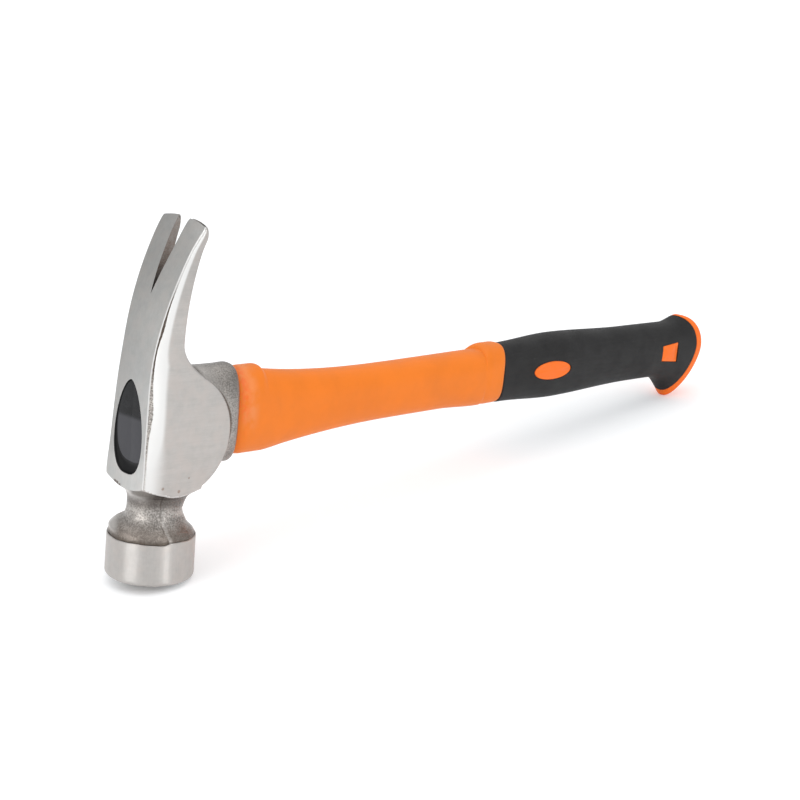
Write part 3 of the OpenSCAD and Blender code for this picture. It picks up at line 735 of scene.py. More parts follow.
def butt_set(s, z):
    """Setback of the butt's end: a quarter circle over its top, a rounded slope down to the heel."""
    peak = s.grip_axis + s.butt_peak
    top = s.butt_round * quarter(unit((z - peak) / (s.butt_top - s.butt_peak)))
    low = s.heel_slope * (np.sqrt((peak - z) ** 2 + s.heel_round ** 2) - s.heel_round)
    return np.where(z > peak, top, low)


def butt_bend(s, rings, amount):
    """Rings near the butt lean to its end line and narrow towards the heel's tip."""
    amount = columns(amount)[0]
    low = unit((s.grip_axis - rings[..., 2]) / s.heel_drop)
    bent = rings.copy()
    bent[..., 0] -= amount * butt_set(s, rings[..., 2])
    bent[..., 1] *= 1 - s.heel_pinch * amount * low * low
    return bent


def grip_bend(s, x, rings):
    """Rings near the bulb ring are bowed like it, and rings near the butt lean to it."""
    rings = bowed(rings, s.bulb_bow * (1 - ramp(x, s.bulb_x, s.palm_x)), axis_at(s, s.bulb_x), s.bulb_h)
    return butt_bend(s, rings, ramp(x, s.heel_x, s.flange_x))


def grip_rings(s, x, tuck, angle):
    """Outside of the grip and the flange: the top and bottom lines spread apart past the heel's start."""
    half = grip_h_at(s, x) / 2
    top = axis_at(s, x) + mix(half, s.butt_top, ramp(x, s.flare_x, s.reach))
    low = axis_at(s, x) - mix(half, s.heel_drop, unit((x - s.heel_x) / (s.reach - s.heel_x)) ** 2.6)
    rings = oval_ring(x, (top + low) / 2, grip_w_at(s, x) - 2 * tuck, top - low - 2 * tuck, OVAL, angle)
    return grip_bend(s, x, rings)


def seat_rings(s, x, gap, angle):
    """The seat under the rubber keeps the grip's section as far as the butt."""
    inset = 2 * (gap - s.grip_t)
    rings = oval_ring(x, axis_at(s, x), grip_w_at(s, x) + inset, grip_h_at(s, x) + inset, OVAL, angle)
    return grip_bend(s, x, rings)


def collar_rings(s, x, tuck, angle):
    """The collar behind the boss, bowed like the boss's end."""
    w, h = s.collar_w - 2 * tuck, s.collar_h - 2 * tuck
    return boss_bowed(s, oval_ring(x, s.axis_z + s.collar_rise, w, h, OVAL, angle))


def over_top(angle):
    """One over the top of a ring, fading to nought round its sides."""
    return ramp(np.sin(angle), 0.2, 0.95)[..., None]


def shaft_rings(s, x, angle):
    """Collar and waisted shaft: over the top the collar ends in a step, and round the sides and below it runs
    out smoothly into the shaft. Both laws are laid out and mixed by the sine of the angle."""
    step = (1 - np.cos(np.pi * unit((x - s.shaft_x + STEP) / STEP))) / 2
    run = ramp(x, s.collar_x + COLLAR_ROUND, s.shaft_x + 12)
    swell = BULB_EARLY * ramp(x, s.bulb_start - 26, s.bulb_start)
    laws = []
    for blend, early in ((step, 0 * x), (run, swell)):
        w = mix(mix(s.collar_w, shaft_law(s, x, s.collar_w, s.shaft_w), blend), s.bulb_w, early)
        h = mix(mix(s.collar_h, shaft_law(s, x, s.collar_h, s.shaft_h), blend), s.bulb_h, early)
        laws.append(oval_ring(x, mix(s.axis_z + s.collar_rise, shaft_axis(s, x), blend), w, h, OVAL, angle))
    rings = mix(laws[1], laws[0], over_top(angle))
    along = unit((x - s.shaft_x) / (s.bulb_start - s.shaft_x))
    span = mix(s.boss_h, s.bulb_h, ramp(x, s.shaft_x, s.shaft_mid))[:, None]
    mid = mix(s.boss_mid, shaft_axis(s, x), step)[:, None]
    return bowed(rings, mix(s.boss_bow, s.bulb_bow, along), mid, span)


def bulb_rings(s, x, swell, tuck, angle):
    """The bulb ring swells from the shaft's end to its own height and width."""
    w = mix(shaft_law(s, s.bulb_start, s.collar_w, s.shaft_w), s.bulb_w, swell) - 2 * tuck
    h = mix(shaft_law(s, s.bulb_start, s.collar_h, s.shaft_h), s.bulb_h, swell) - 2 * tuck
    rings = oval_ring(x, axis_at(s, x) + s.bulb_rise * swell, w, h, OVAL, angle)
    return bowed(rings, s.bulb_bow, axis_at(s, s.bulb_x), s.bulb_h)


def bulb_front(s, angle):
    """Front of the bulb ring: a quarter round over the top, and a slow swell round the sides and below."""
    t = past(0, 1, 16)
    x = s.bulb_start + STEP * t
    crisp = bulb_rings(s, x, np.sqrt(1 - (1 - t) ** 2), 0, angle)
    slow = bulb_rings(s, x, mix(BULB_EARLY, 1, ramp(t, 0, 1)), 0, angle)
    return mix(slow, crisp, over_top(angle))


def jacket_rings(s):
    """The jacket from the bore for the rod, over the tenon in the eye, the collar, the waisted shaft, the
    bulb ring and the seat under the rubber to the butt flange and its rounded end."""
    angle = around(HANDLE_SIDES)
    inset = s.resin_bond + s.bond_gap
    turn = np.linspace(0, np.pi / 2, 9)
    rise, fall = 1 - np.cos(turn), 1 - np.sin(turn)
    bore = [size + 2 * s.bond_gap for size in (s.core_w, s.core_h)]
    shaft = np.concatenate([
        past(s.collar_x + COLLAR_ROUND, s.shaft_x - STEP, 12), past(s.shaft_x - STEP, s.shaft_x, 18),
        past(s.shaft_x, s.bulb_start, 120)])
    bulb = np.linspace(s.bulb_start + STEP, s.bulb_x - BULB_EDGE, 8)[1:-1]
    flange = np.linspace(s.flange_x + FLANGE_LIP, s.reach - s.flange_edge, 8)[1:-1]
    top, low = s.grip_axis + s.butt_top, s.grip_axis - s.heel_drop
    left = past(1, 0.04, 22)
    w, h = ((size - 2 * s.flange_edge) * left for size in (grip_w_at(s, s.reach), top - low))
    end = oval_ring(s.reach + 0 * left, (top + low) / 2, w, h, OVAL, angle)
    return np.concatenate([
        oval_ring([s.core_x + s.bond_gap, s.tenon_x], s.axis_z, *bore, 4, angle),
        eye_ring(s, np.linspace(s.tenon_x, TENON_FRONT, 4), inset, angle),
        boss_bowed(s, eye_ring(s, s.collar_x, inset, angle)),
        collar_rings(s, s.collar_x + COLLAR_ROUND * rise, 2.9 * fall, angle),
        shaft_rings(s, shaft, angle),
        bulb_front(s, angle),
        bulb_rings(s, bulb, 1, 0, angle),
        bulb_rings(s, s.bulb_x - BULB_EDGE * fall, 1, 0.8 * rise, angle),
        seat_rings(s, np.linspace(s.bulb_x, s.flange_x, 40), 0, angle),
        grip_rings(s, s.flange_x + FLANGE_LIP * rise, FLANGE_LIP * fall, angle),
        grip_rings(s, flange, 0, angle),
        grip_rings(s, s.reach - s.flange_edge * fall, s.flange_edge * rise, angle),
        butt_bend(s, end, 1),
    ])


def sleeve_rings(s):
    """The rubber sleeve: its bore from the butt back to the bulb ring, then its outside to the butt."""
    angle = around(HANDLE_SIDES)
    a = np.linspace(0, np.pi / 2, 7)
    bore = seat_rings(s, np.linspace(s.grip_back, s.grip_front, 48), s.bond_gap, angle)
    lip = grip_rings(s, s.grip_front + SLEEVE_LIP * (1 - np.cos(a)), SLEEVE_LIP * (1 - np.sin(a)), angle)
    outside = grip_rings(s, past(s.grip_front + SLEEVE_LIP, s.grip_back, 170), 0, angle)
    return np.concatenate([bore, lip, outside])


def window_rings(s, outline, outer, side, ease):
    """A prism across the handle on one side, over a closed outline in X and Z, its outer edge eased. ease
    widens or narrows the outline there."""
    centre = outline.mean(0)
    reach = np.linalg.norm(outline - centre, axis=1, keepdims=True)
    foot = s.pad_foot
    sections = (
        (foot, 0), (mix(foot, outer, 0.5), 0), (outer - 0.35, 0), (outer - 0.12, ease * 0.3), (outer, ease))
    rings = []
    for depth, grow in sections:
        flat = centre + (outline - centre) * (1 + grow / reach)
        rings.append(np.stack([flat[:, 0], np.full(len(flat), side * depth), flat[:, 1]], -1))
    rings = np.stack(rings)
    return rings if side < 0 else rings[:, ::-1]


def oval_outline(s, gap):
    """An ellipse on the grip's side."""
    a = np.linspace(0, 2 * np.pi, 120, endpoint=False)
    x = s.bulb_x + s.oval_x
    long, high = s.oval_len / 2 + gap, s.oval_h / 2 + gap
    return np.stack([x + long * np.cos(a), axis_at(s, x) + high * np.sin(a)], -1)


def key_outline(s, gap):
    """A four-sided window, wider towards the butt, with each corner rounded."""
    r = 0.5
    long, wide, narrow = (size / 2 + gap - r for size in (s.key_len, s.key_h, 0.78 * s.key_h))
    corners = np.array([[long, wide], [-long, narrow], [-long, -narrow], [long, -wide]])
    a = np.linspace(0, np.pi / 2, 7)[None] + np.arange(4)[:, None] * np.pi / 2
    arcs = (corners[:, None] + r * np.stack([np.cos(a), np.sin(a)], -1)).reshape(-1, 2)
    along = np.linspace(0, 1, 6)[None, :-1, None]
    dense = arcs[:, None] + (np.roll(arcs, -1, 0) - arcs)[:, None] * along
    return dense.reshape(-1, 2) + np.array([s.reach - s.key_x, s.grip_axis])


# Nodes

def maths(operation, swapped=False):
    """A method that adds a maths node on a value and another."""
    def method(self, other=0.0):
        pair = (other, self) if swapped else (self, other)
        return self.sheet.out("ShaderNodeMath", dict(enumerate(pair)), operation=operation)
    return method


class Value:
    """A node's result that can be reckoned with: each sum, product, step or mix adds a node to its sheet."""

    __add__ = __radd__ = maths("ADD")
    __mul__ = __rmul__ = maths("MULTIPLY")
    __sub__, __rsub__ = maths("SUBTRACT"), maths("SUBTRACT", True)
    __truediv__, __rtruediv__ = maths("DIVIDE"), maths("DIVIDE", True)
    larger, below, root, size = (maths(kind) for kind in ("MAXIMUM", "LESS_THAN", "SQRT", "ABSOLUTE"))

    def __init__(self, sheet, socket):
        self.sheet, self.socket = sheet, socket

    def step(self, low, high, start=0.0, end=1.0):
        """A smooth step from start at low to end at high."""
        keys = ("Value", "From Min", "From Max", "To Min", "To Max")
        inputs = dict(zip(keys, (self, low, high, start, end)))
        return self.sheet.out("ShaderNodeMapRange", inputs, interpolation_type="SMOOTHSTEP")

    def vector(self, operation, other, socket=1, key=0):
        """A vector node on this value and another."""
        return self.sheet.out("ShaderNodeVectorMath", {0: self, socket: other}, key, operation=operation)

    def away(self, spot):
        """Distance from a spot."""
        return self.vector("DISTANCE", spot, key="Value")

    def scaled(self, factor):
        """This colour times a factor."""
        return self.vector("SCALE", factor, "Scale")

    def cover(self, mask, other):
        """This colour, covered by another where a mask is one."""
        return self.sheet.blend(mask, self, other)

    def shades(self, rgb, dark, light, low=0.3, high=0.7):
        """A colour that goes from a darker to a lighter shade as this value goes from low to high."""
        return self.sheet.blend(self.step(low, high), tinted(rgb, dark), tinted(rgb, light))


class Sheet:
    """A node tree, and the ways in which nodes are added to it."""

    def __init__(self, tree):
        self.tree = tree

    def join(self, value, socket):
        """Links a value to a socket, or fills the socket with plain numbers."""
        if isinstance(value, Value):
            self.tree.links.new(value.socket, socket)
        else:
            socket.default_value = (*value[:3], 1) if socket.type == "RGBA" else value

    def node(self, kind, inputs=None, **settings):
        """Adds a node, sets its fields, and joins its inputs by name or number."""
        made = self.tree.nodes.new(kind)
        for key, value in settings.items():
            setattr(made, key, value)
        for key, value in (inputs or {}).items():
            self.join(value, made.inputs[key])
        return made

    def outs(self, kind, inputs=None, **settings):
        """All the results of a new node."""
        return [Value(self, socket) for socket in self.node(kind, inputs, **settings).outputs]

    def out(self, kind, inputs=None, key=0, **settings):
        """One result of a new node, by name or number."""
        return Value(self, self.node(kind, inputs, **settings).outputs[key])

    def noise(self, scale, detail=2.0, rough=0.5):
        """Noise over the sheet's place, between nought and one."""
        inputs = {"Vector": self.place, "Scale": scale, "Detail": detail, "Roughness": rough}
        return self.out("ShaderNodeTexNoise", inputs)

    def blend(self, factor, first, second):
        """Mixes two colours by a factor."""
        return self.out("ShaderNodeMix", {0: factor, 6: first, 7: second}, 2, data_type="RGBA")


class Effect(Sheet):
    """A shared effect: a node group with a place, named values and named results."""

    def __init__(self, name, results, **inputs):
        super().__init__(bpy.data.node_groups.new(name, "ShaderNodeTree"))
        new_socket = self.tree.interface.new_socket
        for label, default in {"Place": (0, 0, 0), **inputs}.items():
            kind = "NodeSocketVector" if isinstance(default, tuple) else "NodeSocketFloat"
            new_socket(label, in_out="INPUT", socket_type=kind).default_value = default
        for label in results:
            new_socket(label, in_out="OUTPUT", socket_type="NodeSocketFloat")
        self.place, *self.given = self.outs("NodeGroupInput")[:1 + len(inputs)]

    def done(self, **values):
        """Gives the group its results."""
        self.node("NodeGroupOutput", values)


class Finish(Sheet):
    """A material with one Principled shader, whose plain values are set on its own sockets."""

    def __init__(self, name, **constants):
        self.material = bpy.data.materials.new(name)
        self.material.use_nodes = True
        super().__init__(self.material.node_tree)
        self.fill(constants)
        self.place = self.own_place()

    def fill(self, values):
        """Joins values to the shader's sockets."""
        for key, value in values.items():
            self.join(value, self.tree.nodes["Principled BSDF"].inputs[key.replace("_", " ")])

    def own_place(self):
        """Object coordinates turned back into the hammer's own axes, in millimetres."""
        coord = self.out("ShaderNodeTexCoord", key="Object")
        shift = tuple(-(OWN_AXES @ OWN_ORIGIN) / MM)
        turned = {"Vector": coord, "Location": shift, "Rotation": (0, -PITCH, 0), "Scale": (1 / MM,) * 3}
        return self.out("ShaderNodeMapping", turned)

    def axes(self):
        """The place's three parts."""
        return self.outs("ShaderNodeSeparateXYZ", {0: self.place})

    def attribute(self, name):
        """A value stored on the mesh."""
        return self.out("ShaderNodeAttribute", key="Fac", attribute_name=name)

    def effect(self, name, **inputs):
        """The results of a shared effect with its own values."""
        group = bpy.data.node_groups[name]
        return self.outs("ShaderNodeGroup", {"Place": self.place, **inputs}, node_tree=group)

    def grain(self, stretch, fineness):
        """Brushed streaks, drawn out along one direction."""
        return self.effect("Brushed grain", Stretch=stretch, Fineness=fineness)[0]

    def specks(self, spacing, kept, size):
        """Scattered specks."""
        return self.effect("Specks", Spacing=spacing, Share=kept, Size=size)[0]

    def mark(self, spot, size):
        """A round mark about a spot, one inside and nought outside, with a ragged edge."""
        ragged = self.place.away(spot) + self.noise(2.0) * size
        return ragged.step(0.9 * size, 1.6 * size, 1, 0)

    def chipped(self):
        """The marks of a chipped corner, taken together."""
        first, second, third = (self.mark(spot, size) for spot, size in CHIPS)
        return first.larger(second).larger(third)

    def done(self, height=None, distance=0.0, **values):
        """Joins the shader's values, and a bump of that height in metres; returns the material."""
        if height is not None:
            inputs = {"Height": height, "Distance": distance, "Strength": 1.0}
            values["Normal"] = self.out("ShaderNodeBump", inputs)
        self.fill(values)
        return self.material


def tinted(rgb, factor):
    """A colour made lighter or darker."""
    return tuple(min(1.0, c * factor) for c in rgb)


def grain_effect():
    """Brushed grain: noise drawn out along one direction, coarse and fine streaks together."""
    sheet = Effect("Brushed grain", ("Streaks",), Stretch=(1, 1, 0.03), Fineness=1.0)
    stretch, fineness = sheet.given
    sheet.place = sheet.place.vector("MULTIPLY", stretch)
    coarse, fine = sheet.noise(fineness, 3, 0.6), sheet.noise(fineness * 3.7, 2, 0.6)
    sheet.done(Streaks=coarse * 0.55 + fine * 0.45)


def speck_effect():
    """Specks: the middles of a share of the cells of a Voronoi pattern, each of its own size."""
    sheet = Effect("Specks", ("Mask",), Spacing=4.0, Share=0.2, Size=0.12)
    spacing, kept, size = sheet.given
    cells = {"Vector": sheet.place, "Scale": 1 / spacing, "Randomness": 1.0}
    away, chance = sheet.outs("ShaderNodeTexVoronoi", cells)[:2]
    pick, grow, _ = sheet.outs("ShaderNodeSeparateColor", {"Color": chance})
    near = away / (size * (grow + 0.4))
    sheet.done(Mask=pick.below(kept) * near.step(0.6, 1, 1, 0))


def skin_effect():
    """Forged skin: fine pits, coarser scale and slow patches, as a height and a tone."""
    sheet = Effect("Forged skin", ("Height", "Tone"), Fineness=1.0)
    fine = sheet.given[0]
    grit, scale = sheet.noise(fine * 1.7, 2, 0.6), sheet.noise(fine * 0.8, 3, 0.6)
    patch = sheet.noise(fine * 0.16, 3, 0.55)
    sheet.done(Height=grit * 0.6 + scale * 0.4, Tone=grit * 0.75 + patch * 0.25)


# Finishes

def ground_steel(finishes, name, drawn):
    """Ground steel: a satin front band with upright grain and painted light that makes it lighter below the eye
    and on its -Y side, cheeks and bell ground across, a painted highlight on the bevel and the round beside the
    band, and the unground strip along its edge, with a few pits low on the cheeks. drawn is how far the grain
    draws out highlights."""
    paint = Finish(name, Metallic=1.0, Anisotropic=drawn, Anisotropic_Rotation=0.25)
    _, y, z = paint.axes()
    strip, gone = paint.attribute("strip"), paint.attribute("rounding")
    upright, cross = paint.grain((1.6, 1.6, 0.035), 1.0), paint.grain((0.05, 0.05, 1.0), 0.9)
    skin_height, skin_tone = paint.effect("Forged skin", Fineness=1.1)
    on_strip = strip + (paint.noise(0.7) - 0.5) * 0.5
    strip_mask = on_strip.step(0, 0.12) * on_strip.step(0.95, 1.15, 1, 0)
    strip_mask = strip_mask * (z.step(48, 51.5, 0.3, 1) * z.step(106, 118, 1, 0.3))
    band = gone.step(0.52, 0.6, 1, 0)
    bevel = gone.step(0.5, 0.6) * strip.step(-0.1, 0.15, 1, 0)
    soft = z.step(44, 58, 0.45, 0.12)
    arc = gone.step(1.45, 1.52) * gone.step(2.15 - soft, 2.15 + soft, 1, 0)
    bell = z.step(*BELL_TOP, 0.7, 0)
    streak = paint.blend(band.larger(bell), cross, upright)
    tone = streak * 0.6 + paint.noise(0.3, 4, 0.65) * 0.4
    steel = tone.shades(finishes.ground, 0.91, 1.08)
    warm = paint.noise(0.2, 3, 0.6).step(0.4, 0.65, 0, 0.5)
    steel = steel.cover(warm, (0.63, 0.575, 0.54))
    steel = steel.scaled(z.step(*BELL_TOP, 0.89, 0.8) * z.step(98, 122, 1, 0.88))
    smudge = bell * paint.noise(0.28, 4, 0.65).step(0.4, 0.7, 0, 0.2)
    steel = steel.cover(smudge, tinted(finishes.ground, 0.6))
    cool = steel.vector("MULTIPLY", (0.96, 1.0, 1.02))
    # Painted light: over a cooler tint, the band is made lighter at its lower end below the eye and towards its
    # -Y side.
    steel = steel.cover(band, cool.scaled(z.step(44, 54, 1.14, 0.96) * y.step(-11, 11, 1.1, 0.94)))
    # Painted highlight: the bevel and the round beside the band are laid pale where a lamp's reflection falls
    # on them.
    steel = steel.cover(bevel.larger(arc) * 0.8, (0.76, 0.76, 0.75))
    unground = skin_tone.shades(finishes.forged, 0.6, 1.9, 0.35, 0.65)
    unground = unground.cover(z.step(74, 84, 0, 0.85), tinted(finishes.rust, 0.35))
    steel = steel.cover(strip_mask, unground)
    low = z.step(40, 49, 1, 0) * gone.step(1.7, 1.9)
    pits = paint.specks(7.0, 0.22, 0.09) * (low * z.step(*BELL_TOP))
    for spot, size in PITS:
        pits = pits.larger(paint.mark(spot, size))
    steel = steel.cover(pits * 0.6, tinted(finishes.rust, 1.3))
    steel = steel.cover(paint.chipped() * 0.85, tinted(finishes.rust, 0.4))
    rough = streak * 0.1 + 0.36 + band * z.step(80, 100, 0.06, 0.22) + strip_mask * 0.2
    height = (1 - strip_mask) * (streak * 0.15) + strip_mask * skin_height - pits * 0.6
    return paint.done(height, 0.00012, Base_Color=steel, Roughness=rough)


def forged_steel(finishes, s):
    """As-forged steel: a sparkling grey skin of fine grit, browner in the corner above the bell's rim with a
    painted shadow just above the rim, with a seam and scratches round the top of the neck and painted shade
    over it under the cheeks, smoother where the neck runs out under the front band and on the far side of its
    dome. The boss is calmer, with a painted shadow line beside the cheek, dark at its back, with specks."""
    paint = Finish("forged_steel", Metallic=1.0)
    x, y, z = paint.axes()
    skin_height, skin_tone = paint.effect("Forged skin", Fineness=0.95)
    boss = x.step(13, 16)
    neck = 1 - boss
    calm = boss.step(0, 1, 1, 0.8)
    tone = calm * (skin_tone - 0.5) + 0.5
    steel = tone.shades(finishes.forged, 0.68, 1.46, 0.36, 0.64)
    steel = steel.cover(boss * x.step(24, 33, 0.1, 0.55), tinted(finishes.forged, 0.45))
    steel = steel.cover(boss * x.step(16, 25, 0.6, 0), tinted(finishes.ground, 0.8))
    rise = (z - s.cheek_mid) / s.cheek_r
    cheek = (1 - rise * rise).larger(0).root() * (s.cheek_reach - CHEEK_FRONT) + CHEEK_FRONT
    # Painted shade: a dark rust-tinted line on the boss along the cheek's edge, where the cheek stands proud of
    # it.
    steel = steel.cover((x - cheek).step(0.3, 1.2, 0.75, 0) * boss, tinted(finishes.rust, 0.45))
    steel = steel.cover(paint.specks(1.7, 0.2, 0.14) * (boss * 0.55), tinted(finishes.rust, 0.5))
    steel = steel.cover(paint.specks(2.2, 0.16, 0.12) * (boss * 0.5), tinted(finishes.ground, 1.1))
    patch = paint.noise(0.5, 3)
    steel = steel.cover((z + patch * 3).step(20.5, 25.5, 0.66, 0) * neck, (0.17, 0.138, 0.114))
    # Painted shadow: a near-black band just above the bell's rim, under the step in.
    steel = steel.cover((z + patch * 1.6).step(17.6, 19.4, 0.85, 0) * neck, (0.10, 0.082, 0.068))
    # Painted shade: the top of the neck and the flare are darkened under the cheeks' overhang.
    steel = steel.cover(z.step(26.5, 31, 0, 0.75) * neck, (0.115, 0.098, 0.088))
    seam = paint.attribute("seam") + (paint.noise(0.6, 3) - 0.5) * 1.2
    flank = seam.step(0.3, 0.6) * seam.step(0.9, 2.2, 0.28, 0) * z.step(29, 26)
    groove = seam.size().step(0.08, 0.38, 0.6, 0) * paint.noise(0.3).step(0.4, 0.58, 0.15, 1)
    steel = steel.cover(flank, finishes.ground).cover(groove, (0.075, 0.062, 0.052))
    under = z.step(29, 34) * x.step(-6, -11)
    dome = (x * -0.81 + y * 0.585).step(11.8, 14.8) * z.step(17.5, 20.5)
    smooth = under.larger(dome) * neck
    steel = steel.cover(smooth, tinted(finishes.ground, 0.95))
    steel = steel.cover(paint.chipped() * 0.85, tinted(finishes.rust, 0.4))
    scratch = paint.grain((0.06, 0.06, 1.4), 1.2) * (neck * z.step(26, 31) * 1.4)
    height = skin_height * smooth.step(0, 1, calm, 0.15) + scratch
    return paint.done(height, 0.0003, Base_Color=steel, Roughness=tone.step(0.3, 0.7, 0.43, 0.28))


def slot_steel(finishes):
    """Sawn and scaled walls of the nail slot: dark, brownish and dull, with painted shade that makes them
    darkest deep at the root.
    """
    paint = Finish("slot_steel", Metallic=0.8)
    z = paint.axes()[2]
    skin_height, skin_tone = paint.effect("Forged skin", Fineness=1.6)
    sawn = paint.grain((0.12, 1.0, 1.2), 1.6)
    tone = skin_tone * 0.5 + sawn * 0.5
    walls = paint.blend(tone.step(0.3, 0.7), tinted(finishes.rust, 0.8), tinted(finishes.forged, 0.8))
    # Painted shade: near black deep at the root; towards the tips the walls are lighter.
    walls = walls.cover(z.step(116, 136, 0, 0.6), finishes.forged)
    walls = walls.cover(z.step(107, 127, 0.9, 0), tinted(finishes.forged, 0.1))
    return paint.done(sawn + skin_height, 0.0002, Base_Color=walls, Roughness=tone.step(0.3, 0.7, 0.6, 0.42))


def eye_wall(finishes):
    """Walls of the eye, blackened by the resin."""
    paint = Finish("eye_wall", Roughness=0.4)
    return paint.done(Base_Color=paint.noise(0.5).shades(finishes.resin, 0.4, 0.8))


def cast_resin(finishes):
    """Cast resin: glossy black, with a painted reflection that makes its lower half greyer and painted shade
    that makes it darkest up the eye's wall, with a little dust.
    """
    paint = Finish("cast_resin", Specular_IOR_Level=0.2)
    z = paint.axes()[2]
    cloud, dust = paint.noise(0.25), paint.specks(3.2, 0.25, 0.07)
    climbed = paint.attribute("meniscus")
    shade = cloud.shades(finishes.resin, 0.35, 0.65)
    # Painted reflection: the lower half is laid greyer, as if it mirrored the floor.
    shade = shade.cover(z.step(62, 64, 1, 0), tinted(finishes.resin, 2.75))
    # Painted shade: darkest where the resin climbs the eye's wall.
    shade = shade.cover(climbed.step(0, 0.12), tinted(finishes.resin, 0.25))
    shade = shade.cover(dust * 0.25, (0.35, 0.35, 0.36))
    rough = cloud.step(0.3, 0.7, 0.12, 0.2) + climbed.step(0, 0.5, 0, 0.35)
    return paint.done(cloud + dust, 0.00008, Base_Color=shade, Roughness=rough)


def moulded_plastic(finishes):
    """Satin moulded plastic: slow mottling, a fine satin texture, a few dark and pale specks, a painted gloss
    highlight and a worn front edge on the collar, and a redder tone on the pads and the butt."""
    paint = Finish("moulded_plastic", Specular_IOR_Level=0.3)
    x, _, z = paint.axes()
    cloud, grit = paint.noise(0.05, 4, 0.6), paint.noise(1.8, 3, 0.6)
    body = cloud.shades(finishes.jacket, 0.95, 1.04)
    # Painted highlight: a pale upright gloss band on the collar.
    painted_gloss = x.step(43, 38) * x.step(33, 35) * z.step(50, 62) * paint.noise(0.18, 3).step(0.3, 0.6)
    body = body.cover(painted_gloss * 0.13, (0.95, 0.62, 0.42))
    worn = x.step(34.5, 38.5, 0.5, 0) * paint.noise(0.6, 3).step(0.38, 0.6, 0.2, 1) * z.step(56, 66, 0.3, 1)
    body = body.cover(worn, (0.9, 0.11, 0.012))
    body = body.cover(x.step(198, 206), (0.98, 0.175, 0.012))
    body = body.cover(paint.specks(9.0, 0.16, 0.05) * 0.5, (0.55, 0.06, 0.02))
    pale = paint.specks(5.0, 0.1, 0.045) * x.step(60, 44)
    body = body.cover(pale * 0.55, (0.95, 0.85, 0.75))
    rough = (grit + cloud).step(0.6, 1.4, 0.4, 0.52)
    return paint.done(grit * 0.4 + cloud, 0.00006, Base_Color=body, Roughness=rough)


def grip_rubber(finishes):
    """Matt moulded rubber: a fine pebble, dusty clouds, a few pale flecks and faint lines along the grip."""
    paint = Finish("grip_rubber", Specular_IOR_Level=0.25)
    pebble, fleck = paint.noise(2.6, 3, 0.6), paint.specks(4.0, 0.2, 0.07)
    tone = paint.noise(0.09, 4, 0.6) * 0.6 + paint.grain((0.05, 0.7, 0.7), 1.0) * 0.4
    body = tone.shades(finishes.rubber, 0.8, 1.25, 0.32, 0.68)
    body = body.cover(fleck * 0.45, (0.16, 0.16, 0.15))
    return paint.done(pebble + fleck * 0.6, 0.0002, Base_Color=body, Roughness=tone.step(0.3, 0.7, 0.62, 0.5))


def raw_rod(finishes):
    """Raw pultruded rod: straw-coloured resin with fibres along it."""
    paint = Finish("raw_rod", Specular_IOR_Level=0.5)
    fibre = paint.grain((0.03, 1.4, 1.4), 1.2)
    body = fibre.shades(finishes.rod, 0.75, 1.1)
    return paint.done(fibre, 0.0001, Base_Color=body, Roughness=fibre.step(0.3, 0.7, 0.6, 0.4))


# Operators

class HAMMER_OT_head(bpy.types.Operator):
    """Builds the forged head: blade, bell with neck, and boss joined, eye and nail slot cut"""

    bl_idname = "hammer.build_head"
    bl_label = "Forged head"

    def execute(self, context):
        s, finishes = measures(context.scene), context.scene.hammer_finishes
        steels = (
            ground_steel(finishes, "ground_blade", 0.0), forged_steel(finishes, s), slot_steel(finishes),
            eye_wall(finishes), ground_steel(finishes, "ground_bell", 0.85))
        blade, edge, levels, gone = blade_rings(s)
        marks = {"seam": FAR, "strip": (edge - 0.5) / strip_width(s, levels), "rounding": gone}
        plain = {key: FAR for key in marks}
        on_band = {"seam": FAR, "strip": -FAR, "rounding": 0.0}
        turned, finish, seam = turned_rings(s)
        eye = eye_cutter_rings(s)
        mouth = np.where(np.arange(len(eye) - 1) < MOUTH_ROWS, BLADE_STEEL, EYE_WALLS)
        head = skin("hammer_head_forging", blade, steels, marks, BLADE_STEEL)
        for operation, name, rings, values, zone in (
                ("INTERSECT", "turned_body", turned, {**plain, "seam": seam}, finish),
                ("UNION", "boss", boss_rings(s), plain, FORGED),
                ("DIFFERENCE", "eye", eye, on_band, mouth),
                ("DIFFERENCE", "slot", slot_rings(s), on_band, SLOT_WALLS)):
            carve(head, operation, skin(name, rings, steels, values, zone))
        finish_piece(head, "hammer_head", 28)
        return {"FINISHED"}


class HAMMER_OT_resin(bpy.types.Operator):
    """Builds the cast resin: a dished pool with a skin up the eye's wall, and a thin cup round the tenon"""

    bl_idname = "hammer.build_resin"
    bl_label = "Eye resin"

    def execute(self, context):
        rings, climbed = resin_rings(measures(context.scene))
        black = (cast_resin(context.scene.hammer_finishes),)
        resin = skin("eye_resin", rings, black, {"meniscus": climbed})
        finish_piece(resin, "eye_epoxy", 40)
        return {"FINISHED"}


class HAMMER_OT_jacket(bpy.types.Operator):
    """Builds the plastic jacket with the pads that fill the grip's windows"""

    bl_idname = "hammer.build_jacket"
    bl_label = "Handle jacket"

    def execute(self, context):
        s = measures(context.scene)
        plastic = (moulded_plastic(context.scene.hammer_finishes),)
        jacket = skin("plastic_jacket", jacket_rings(s), plastic)
        key_w = float(grip_w_at(s, s.reach - s.key_x))
        for outline, width in ((oval_outline(s, 0), s.palm_w), (key_outline(s, 0), key_w)):
            for side in (-1, 1):
                pad = window_rings(s, outline, width / 2 - 0.2, side, -0.25)
                carve(jacket, "UNION", skin("pad", pad, plastic))
        finish_piece(jacket, "handle_jacket", 40)
        return {"FINISHED"}


